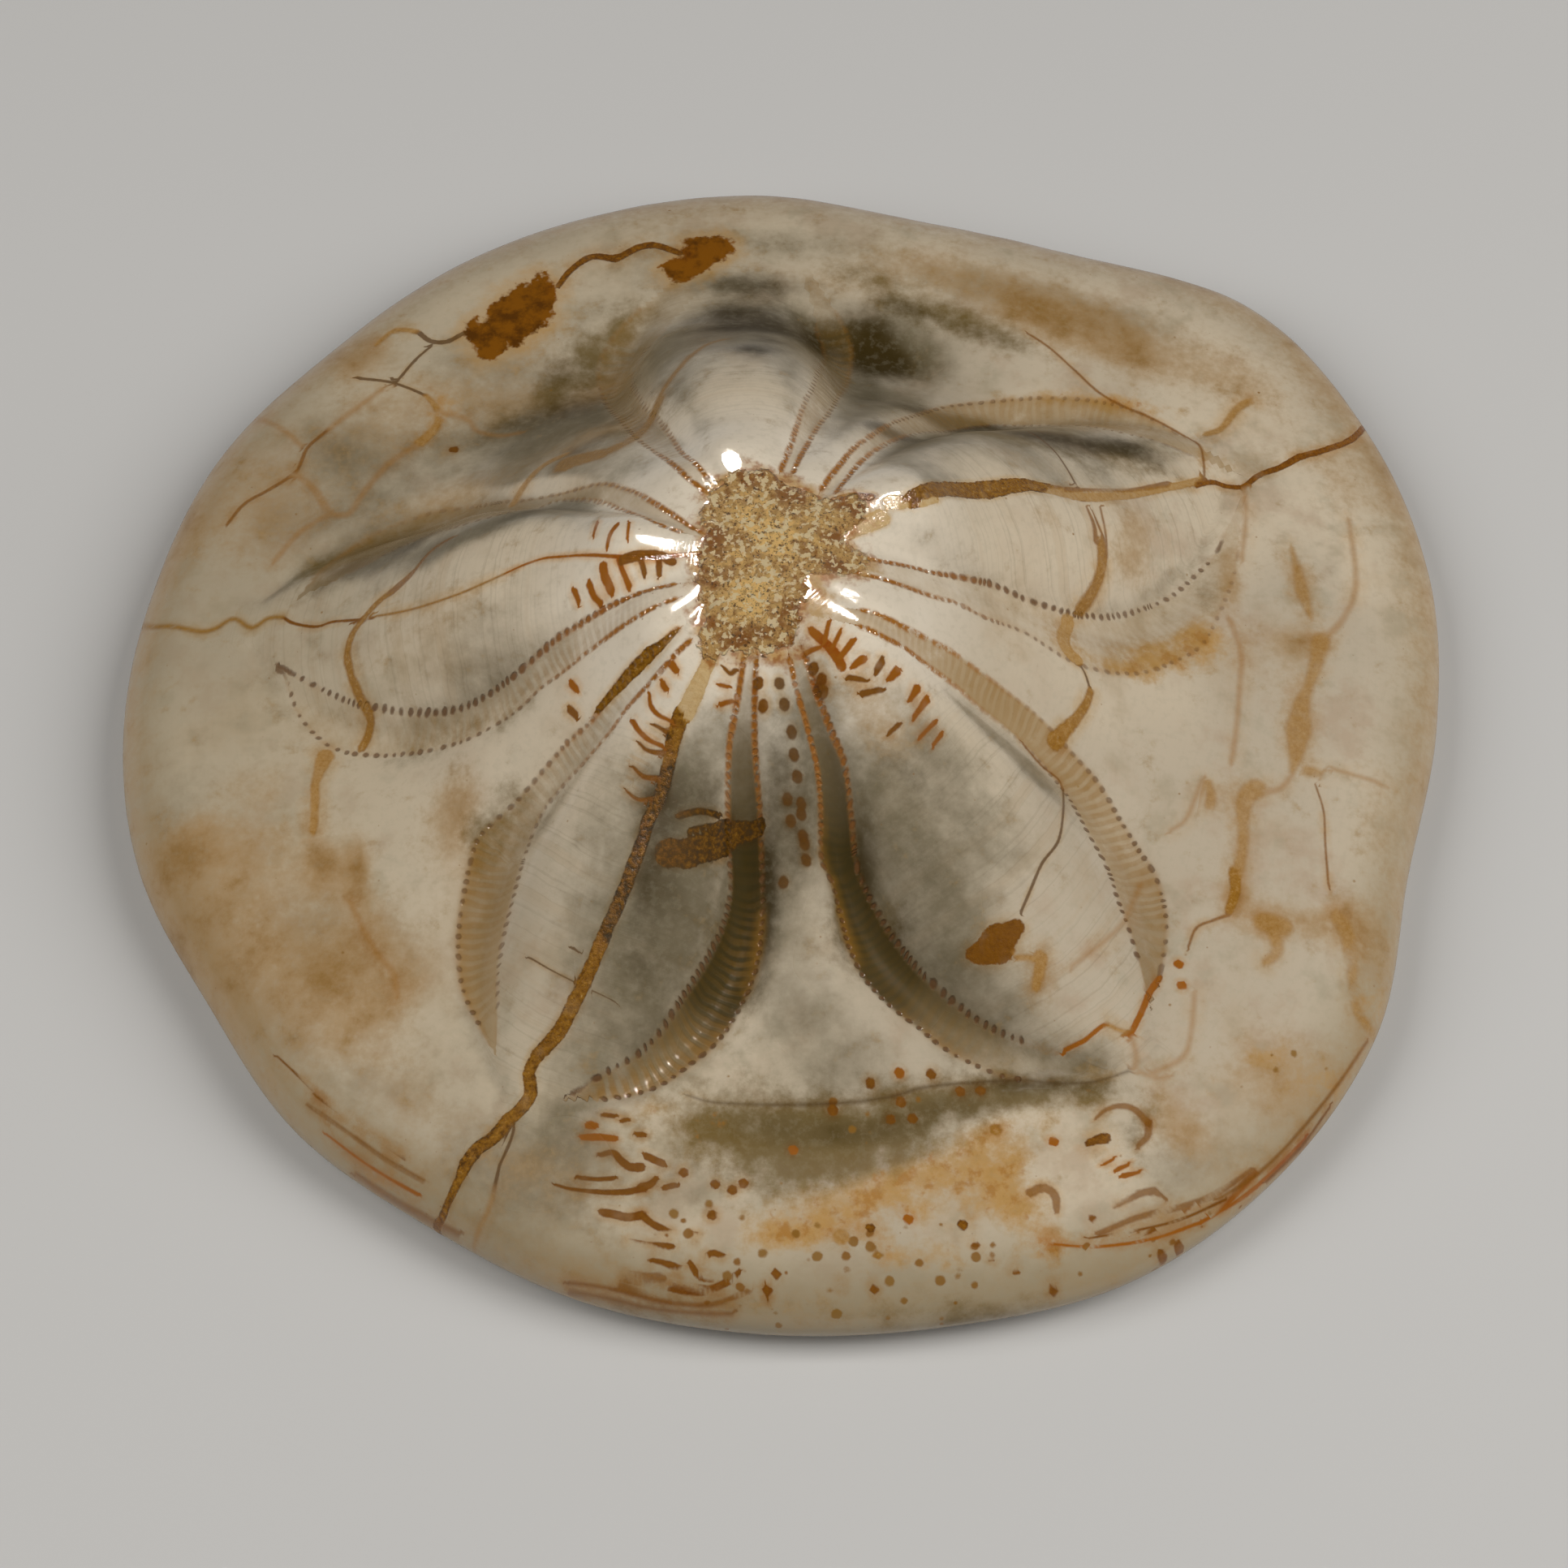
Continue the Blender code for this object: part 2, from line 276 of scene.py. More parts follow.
# The outline is moved and fitted into the plain solid's box, which its flat facets make a hair smaller
own_low = np.array([plan_x.min(), plan_y.min()])
own_high = np.array([plan_x.max(), plan_y.max()])
fit = (STONE_HIGH - STONE_LOW)[:2] / (own_high - own_low)
summit = STONE_LOW[:2] - own_low * fit
x, y = plan_x * fit[0] + summit[0], plan_y * fit[1] + summit[1]
print("summit at", np.round(summit / MM, 2), "mm, fitted by", np.round(fit, 4))

# %% [markdown]
# ## Reading places off the photograph
#
# Cracks, pore rows and stains lie where they do by chance, so no formula gives them.
# Each is read off the photograph as a few pixel positions, and a ray from the camera
# through each pixel finds its place on the stone. After that it is a line on the
# surface, measured in millimetres, and looks right from every side.

# %% The camera that took the photograph
PHOTO_PIXELS = 1932
CAMERA_ELEVATION = np.radians(60.0)
CAMERA_DISTANCE = 0.610
CAMERA_TARGET = np.array([0.0, -0.0105, 0.012])
PIXELS_PER_METRE = 11150.0  # at the target
SENSOR_WIDTH = 0.036
MARCH_FROM, MARCH_STEPS = 0.048, 480     # the rays are followed down from just above the summit

camera_back = np.array([0.0, -np.cos(CAMERA_ELEVATION), np.sin(CAMERA_ELEVATION)])
camera_right = np.array([1.0, 0.0, 0.0])
camera_up = np.cross(camera_back, camera_right)
camera_place = CAMERA_TARGET + CAMERA_DISTANCE * camera_back
focal_pixels = PIXELS_PER_METRE * CAMERA_DISTANCE


def height_over(x, y):
    """Height of the stone over a place in plan, for the rays to meet."""
    from_summit_x, from_summit_y = (x - summit[0]) / fit[0], (y - summit[1]) / fit[1]
    bearing = np.arctan2(from_summit_y, from_summit_x)
    radius = np.hypot(from_summit_x, from_summit_y)
    share = radius / outline_radius(bearing)
    turn = np.arcsin(np.clip((share - 1 + RIM_ROUND) / RIM_ROUND, 0, 1))
    return np.where(share < 1, stone_height(radius, bearing, share, turn), -1.0)


def on_stone(pixels):
    """Where the ray through each pixel first meets the stone, found by marching down it.
    A ray that passes the stone by is stopped at the resting plane. The pixels are pairs, or
    x and y in turn."""
    pixels = np.reshape(np.asarray(pixels, float), (-1, 2))
    right = (pixels[:, 0] - PHOTO_PIXELS / 2) / focal_pixels
    up = -(pixels[:, 1] - PHOTO_PIXELS / 2) / focal_pixels
    ray = right[:, None] * camera_right + up[:, None] * camera_up - camera_back
    level = np.linspace(MARCH_FROM, 0.0, MARCH_STEPS + 1)[None, :]
    reach = (level - camera_place[2]) / ray[:, 2:3]
    x = camera_place[0] + reach * ray[:, 0:1]
    y = camera_place[1] + reach * ray[:, 1:2]
    gap = level - height_over(x, y)
    met = np.where((gap <= 0).any(axis=1), (gap <= 0).argmax(axis=1), level.shape[1] - 1)
    row = np.arange(len(pixels))
    before = np.maximum(met - 1, 0)
    part = gap[row, before] / np.maximum(gap[row, before] - gap[row, met], 1e-9)
    part = np.clip(part, 0, 1)
    return np.column_stack([x[row, before] * (1 - part) + x[row, met] * part,
                            y[row, before] * (1 - part) + y[row, met] * part]) / MM


print("the summit's front edge lies at", np.round(on_stone([(950, 585)])[0], 1), "mm in plan")

# %% [markdown]
# ## Lines on the stone
#
# A crack is a line with a width. For every point of the grid, three numbers say all that
# the paint needs: how far it is beside the nearest line, with a sign that tells the two
# sides apart, how far it is from it in all, and how far along the line it lies. The sign
# matters: a signed distance runs straight through zero, so it stays sharp between the
# grid's points, while a plain distance would be blunted there.

# %% Distance to a line
grid_x, grid_y = (x / MM).ravel(), (y / MM).ravel()
FAR = 60.0


def smooth_line(places, pieces=6):
    """Points between the given places on a curve that passes through each of them."""
    at = np.arange(len(places), dtype=float)
    where = np.linspace(0, len(places) - 1, (len(places) - 1) * pieces + 1)
    if len(places) < 3:
        return np.column_stack([np.interp(where, at, places[:, 0]), np.interp(where, at, places[:, 1])])
    return np.column_stack([smooth_curve(where, at, places[:, 0]), smooth_curve(where, at, places[:, 1])])


def beside_line(line, margin):
    """For each grid point: signed distance beside the line (left is positive), distance,
    and length along it. The nearest of the line's straight pieces gives all three."""
    low, high = line.min(axis=0) - margin, line.max(axis=0) + margin
    near = np.flatnonzero((grid_x > low[0]) & (grid_x < high[0]) & (grid_y > low[1]) & (grid_y < high[1]))
    offset, distance, along = (np.full(grid_x.size, value) for value in (FAR, FAR, 0.0))
    if len(near) == 0:
        return offset, distance, along
    start, piece = line[:-1], np.diff(line, axis=0)
    length = np.maximum(np.hypot(piece[:, 0], piece[:, 1]), 1e-6)
    way = piece / length[:, None]
    from_x = grid_x[near, None] - start[None, :, 0]
    from_y = grid_y[near, None] - start[None, :, 1]
    on_piece = np.clip(from_x * way[:, 0] + from_y * way[:, 1], 0, length)
    gap_x, gap_y = from_x - on_piece * way[:, 0], from_y - on_piece * way[:, 1]
    gap = np.hypot(gap_x, gap_y)
    best = gap.argmin(axis=1)
    row = np.arange(len(near))
    side = np.sign(way[best, 0] * from_y[row, best] - way[best, 1] * from_x[row, best])
    offset[near] = side * gap[row, best]
    distance[near] = gap[row, best]
    along[near] = np.concatenate([[0], np.cumsum(length)])[best] + on_piece[row, best]
    return offset, distance, along


# %% [markdown]
# ## The pore bands
#
# In life, tube feet came out through pairs of pores along both edges of each petal. The
# inner and the outer pore of a pair are joined by a fine furrow, so the two rows look
# like the two rails of a ladder. Each band is given by its two rows, from the summit to
# the tip. The grid then learns how far across the band each point lies (0 on the inner
# row, 1 on the outer), how many pores it is from the summit, and how wide the band is.

# %% The pore rows, inner and outer, in pixels of the photograph: x and y in turn
PORE_ROWS = {
    "front, left": (
        (872, 590, 845, 562, 828, 539, 812, 518, 792, 498, 778, 470, 790, 440, 820, 405),
        (872, 608, 841, 583, 812, 560, 780, 536, 748, 500, 737, 460, 752, 420, 790, 380),
    ),
    "front, right": (
        (962, 580, 973, 552, 982, 524, 990, 500, 1004, 470, 1015, 440, 1005, 405),
        (977, 583, 990, 556, 1007, 527, 1028, 500, 1046, 465, 1048, 425, 1030, 385),
    ),
    "right front, left": (
        (1030, 607, 1045, 588, 1062, 568, 1090, 548, 1140, 532, 1200, 526, 1280, 524, 1360, 528,
         1420, 542, 1466, 560),
        (1012, 603, 1032, 576, 1052, 552, 1073, 537, 1110, 517, 1160, 502, 1250, 492, 1350, 494,
         1410, 512, 1472, 545),
    ),
    "right front, right": (
        (1030, 683, 1060, 687, 1095, 693, 1143, 704, 1190, 713, 1224, 721, 1267, 740, 1305, 752,
         1333, 759, 1371, 760, 1405, 752, 1443, 735, 1467, 714, 1495, 686, 1510, 655),
        (1023, 697, 1060, 707, 1107, 720, 1143, 733, 1181, 744, 1214, 761, 1262, 779, 1305, 806,
         1343, 823, 1405, 829, 1448, 814, 1481, 794, 1502, 756, 1519, 713, 1527, 672),
    ),
    "right rear, left": (
        (1060, 772, 1093, 787, 1120, 802, 1173, 842, 1207, 872, 1241, 899, 1283, 940, 1316, 982,
         1341, 1027, 1366, 1073, 1378, 1110, 1391, 1144, 1403, 1185, 1411, 1218),
        (1062, 752, 1107, 769, 1140, 786, 1173, 803, 1207, 828, 1241, 853, 1283, 887, 1324, 932,
         1353, 965, 1378, 1007, 1403, 1048, 1424, 1081, 1436, 1127, 1436, 1164, 1428, 1206),
    ),
    "right rear, right": (
        (993, 812, 1005, 850, 1023, 898, 1040, 939, 1048, 997, 1054, 1058, 1062, 1087, 1079, 1120,
         1099, 1154, 1128, 1191, 1149, 1212, 1182, 1241, 1219, 1266, 1257, 1282, 1302, 1296),
        (973, 812, 982, 852, 994, 894, 1007, 948, 1011, 997, 1012, 1058, 1025, 1087, 1037, 1133,
         1049, 1174, 1070, 1212, 1103, 1245, 1132, 1266, 1161, 1290, 1199, 1311, 1240, 1326,
         1290, 1330),
    ),
    "left rear, left": (
        (917, 808, 913, 835, 907, 873, 899, 915, 897, 956, 897, 1010, 899, 1060, 900, 1100, 889, 1145,
         868, 1187, 839, 1232, 815, 1270, 786, 1299, 752, 1319, 705, 1348),
        (932, 808, 930, 852, 930, 915, 936, 997, 939, 1075, 939, 1133, 931, 1195, 910, 1245, 885, 1282,
         856, 1307, 819, 1334, 786, 1347, 742, 1355),
    ),
    "left rear, right": (
        (850, 790, 820, 820, 800, 842, 773, 872, 752, 901, 719, 940, 692, 970, 665, 1007, 646, 1056,
         630, 1114, 619, 1160, 613, 1205, 613, 1250, 612, 1288),
        (836, 775, 807, 800, 780, 820, 754, 852, 728, 890, 700, 915, 672, 947, 640, 984, 608, 1014,
         586, 1040, 572, 1100, 565, 1150, 566, 1192, 572, 1225, 590, 1262, 603, 1288),
    ),
    "left front, left": (
        (830, 720, 783, 733, 745, 751, 710, 772, 686, 787, 658, 812, 630, 836, 602, 856, 574, 871,
         542, 878, 510, 878, 482, 875, 434, 866, 390, 846, 346, 822),
        (832, 738, 790, 757, 750, 784, 722, 805, 692, 829, 666, 848, 642, 871, 622, 886, 598, 900,
         574, 912, 542, 922, 510, 928, 462, 931, 420, 925, 392, 909, 368, 880, 355, 845, 346, 824),
    ),
    "left front, right": (
        (838, 655, 810, 645, 780, 633, 745, 620, 715, 616, 676, 621, 634, 630, 572, 646, 530, 659,
         488, 676, 450, 696, 415, 715),
        (868, 660, 836, 639, 805, 619, 776, 604, 747, 596, 717, 601, 688, 609, 647, 616, 597, 622,
         547, 629, 513, 638, 480, 650, 447, 667, 413, 690, 384, 715),
    ),
}
# Along each band, at its start, at its third, at two thirds and at its tip: how strong the brown
# filling is, how strong the comb of furrows, how dark the filling, and how strong the pores of
# the inner and of the outer row
BAND_LOOKS = {
    "front, left": ((0.3, 0.4, 0.5, 0.3), (0.0, 0.3, 0.6, 0.3), (0.3, 0.5, 0.5, 0.4),
                    (0.5, 0.4, 0.3, 0.2), (0.5, 0.4, 0.3, 0.2)),
    "front, right": ((0.3, 0.4, 0.3, 0.2), (0.0, 0.2, 0.4, 0.2), (0.3, 0.4, 0.6, 0.5),
                     (0.5, 0.4, 0.3, 0.2), (0.5, 0.4, 0.2, 0.1)),
    "right front, left": ((0.3, 0.3, 0.6, 0.5), (0.0, 0.2, 0.4, 0.2), (0.2, 0.3, 0.3, 0.3),
                          (0.5, 0.3, 0.3, 0.3), (0.5, 0.4, 0.4, 0.3)),
    "right front, right": ((0.4, 0.15, 0.2, 0.2), (0.0, 0.1, 0.25, 0.2), (0.3, 0.1, 0.15, 0.3),
                           (0.5, 1.0, 0.6, 0.6), (0.5, 0.5, 0.4, 0.3)),
    "right rear, left": ((0.5, 0.8, 0.5, 0.7), (0.3, 0.75, 0.9, 0.6), (0.1, 0.25, 0.15, 0.5),
                         (0.5, 0.2, 0.7, 0.8), (0.3, 0.2, 0.6, 0.5)),
    "right rear, right": ((0.2, 1.0, 1.0, 0.1), (0.0, 0.1, 0.3, 0.1), (0.7, 1.0, 0.95, 0.4),
                          (0.6, 0.7, 0.8, 0.9), (0.6, 0.6, 0.8, 0.9)),
    "left rear, left": ((0.2, 1.0, 1.0, 0.2), (0.0, 0.1, 0.6, 1.0), (0.7, 1.0, 0.97, 0.1),
                        (0.6, 0.6, 0.7, 0.8), (0.6, 0.6, 0.6, 0.9)),
    "left rear, right": ((0.05, 0.25, 0.7, 0.6), (0.0, 0.5, 0.6, 0.4), (0.4, 0.45, 0.4, 0.2),
                         (0.6, 0.4, 0.5, 0.4), (0.5, 0.5, 0.5, 0.6)),
    "left front, left": ((0.2, 0.2, 0.25, 0.15), (0.1, 0.6, 0.2, 0.05), (0.2, 0.2, 0.2, 0.1),
                         (0.6, 1.0, 0.7, 0.7), (0.5, 0.5, 0.6, 0.6)),
    "left front, right": ((0.4, 0.5, 0.6, 0.6), (0.0, 0.1, 0.1, 0.1), (0.3, 0.4, 0.6, 0.6),
                          (0.5, 0.4, 0.3, 0.3), (0.5, 0.4, 0.3, 0.2)),
}
PORE_PITCH_FIRST, PORE_PITCH_LAST = 0.62, 1.28   # millimetres from pore to pore
BAND_MARGIN = 9.0                                # millimetres round a row that know of it
NARROWEST_BAND, WIDEST_BAND = 0.35, 12.0         # millimetres
FAR_ACROSS = 12.0                                # the share across, for points away from every band


# %% Guides for the pore bands
def pore_band(rows, looks):
    """Across the band: inner gap / (inner gap - outer gap), 0 on one row and 1 on the other.
    Pores counted: the length along, divided by a pitch that grows from the summit to the tip."""
    inner, outer = (smooth_line(on_stone(row)) for row in rows)
    at_inner, gap_inner, along_inner = beside_line(inner, BAND_MARGIN)
    at_outer, gap_outer, along_outer = beside_line(outer, BAND_MARGIN)
    first = outer[1] - inner[1]
    way = inner[2] - inner[1]
    outwards = np.sign(way[0] * first[1] - way[1] * first[0])
    at_inner, at_outer = outwards * at_inner, outwards * at_outer
    near = (gap_inner < FAR) & (gap_outer < FAR)
    width = np.where(near, np.clip(at_inner - at_outer, NARROWEST_BAND, WIDEST_BAND), 1.0)
    across = np.where(near, np.clip(at_inner / width, -FAR_ACROSS, FAR_ACROSS), FAR_ACROSS)
    length = np.hypot(*np.diff(inner, axis=0).T).sum()
    run = np.clip((along_inner + along_outer) / 2 / length, 0, 1)
    pitch = PORE_PITCH_FIRST + (PORE_PITCH_LAST - PORE_PITCH_FIRST) * run
    growth = (PORE_PITCH_LAST - PORE_PITCH_FIRST) / PORE_PITCH_FIRST
    count = length / PORE_PITCH_FIRST * np.log1p(growth * run) / growth
    end_gap = np.minimum(gap_inner, gap_outer)
    look_here = [np.interp(run, (0, 0.33, 0.67, 1), values) for values in looks]
    from_band = np.where(near, np.maximum(np.abs(across - 0.5) - 0.5, 0) * width, FAR)
    from_band = np.maximum(from_band, np.where(near, end_gap - width / 2, FAR))
    return from_band, np.column_stack([across, count, width, pitch, run, *look_here])


nearest_band = np.full(grid_x.size, FAR)
band_guide = np.tile([FAR_ACROSS, 0, 1, 1, 0, 0, 0, 0, 0, 0], (grid_x.size, 1))
for name, rows in PORE_ROWS.items():
    from_band, guide = pore_band(rows, BAND_LOOKS[name])
    closer = from_band < nearest_band
    nearest_band = np.where(closer, from_band, nearest_band)
    band_guide[closer] = guide[closer]
upper = on_top.ravel()
nearest_band[~upper] = FAR
print("points inside a pore band:", int((nearest_band < 0.2).sum()))

# %% [markdown]
# ## Cracks, veins and marks
#
# Earth pressure cracked the stone, and iron-rich water filled the cracks with gold and
# brown minerals. Some are wide veins, most are hairlines. The seams between the shell's
# plates took up the same stain, and short dashes show where pores were cut at a slant.
# All of them are lines with a width, a round spot too. One list holds seams, which run
# into each other, and the others hold short marks and spots, which lie apart. Each kind
# says how dark it is, how red, how grainy, how soft its edge is, how strongly it covers
# the stone and how wide a tan halo it has soaked into the stone beside it.

# %% Kinds of line: darkness, redness, grain, softness of the edge in millimetres, cover, halo in millimetres
KINDS = {
    "brown vein": (0.64, 0.10, 1.2, 0.08, 1.0, 0.5),
    "dark vein": (0.76, 0.00, 1.2, 0.08, 1.0, 0.5),
    "gold vein": (0.58, 0.10, 1.0, 0.08, 1.0, 0.5),
    "cream vein": (0.14, 0.05, 0.3, 0.06, 1.0, 0.3),
    "tan seam": (0.36, 0.15, 0.3, 0.24, 0.85, 1.3),
    "gold seam": (0.44, 0.15, 0.5, 0.18, 0.90, 0.9),
    "tan vein": (0.30, 0.12, 0.3, 0.14, 0.95, 0.7),
    "red vein": (0.70, 0.40, 0.8, 0.08, 1.0, 0.8),
    "soft band": (0.38, 0.12, 0.3, 0.40, 0.66, 1.4),
    "rust spot": (0.72, 0.25, 0.3, 0.10, 1.0, 0.8),
    "dark mark": (0.80, 0.15, 0.2, 0.12, 0.90, 0.4),
    "olive seam": (0.48, 0.00, 0.3, 0.30, 0.85, 0.8),
    "brown seam": (0.66, 0.30, 0.4, 0.14, 0.80, 0.6),
    "faint seam": (0.42, 0.35, 0.2, 0.34, 0.45, 1.2),
    "hairline": (0.84, 0.10, 0.1, 0.08, 0.80, 0.3),
    "orange mark": (0.58, 0.90, 0.3, 0.10, 1.0, 0.5),
    "brown mark": (0.72, 0.36, 0.3, 0.11, 0.98, 0.6),
    "growth line": (0.66, 0.30, 0.3, 0.16, 0.78, 0.6),
    "rust": (0.70, 0.25, 0.9, 0.10, 1.0, 1.4),
    "fold": (0.88, 0.00, 0.0, 0.26, 0.62, 0.6),
}

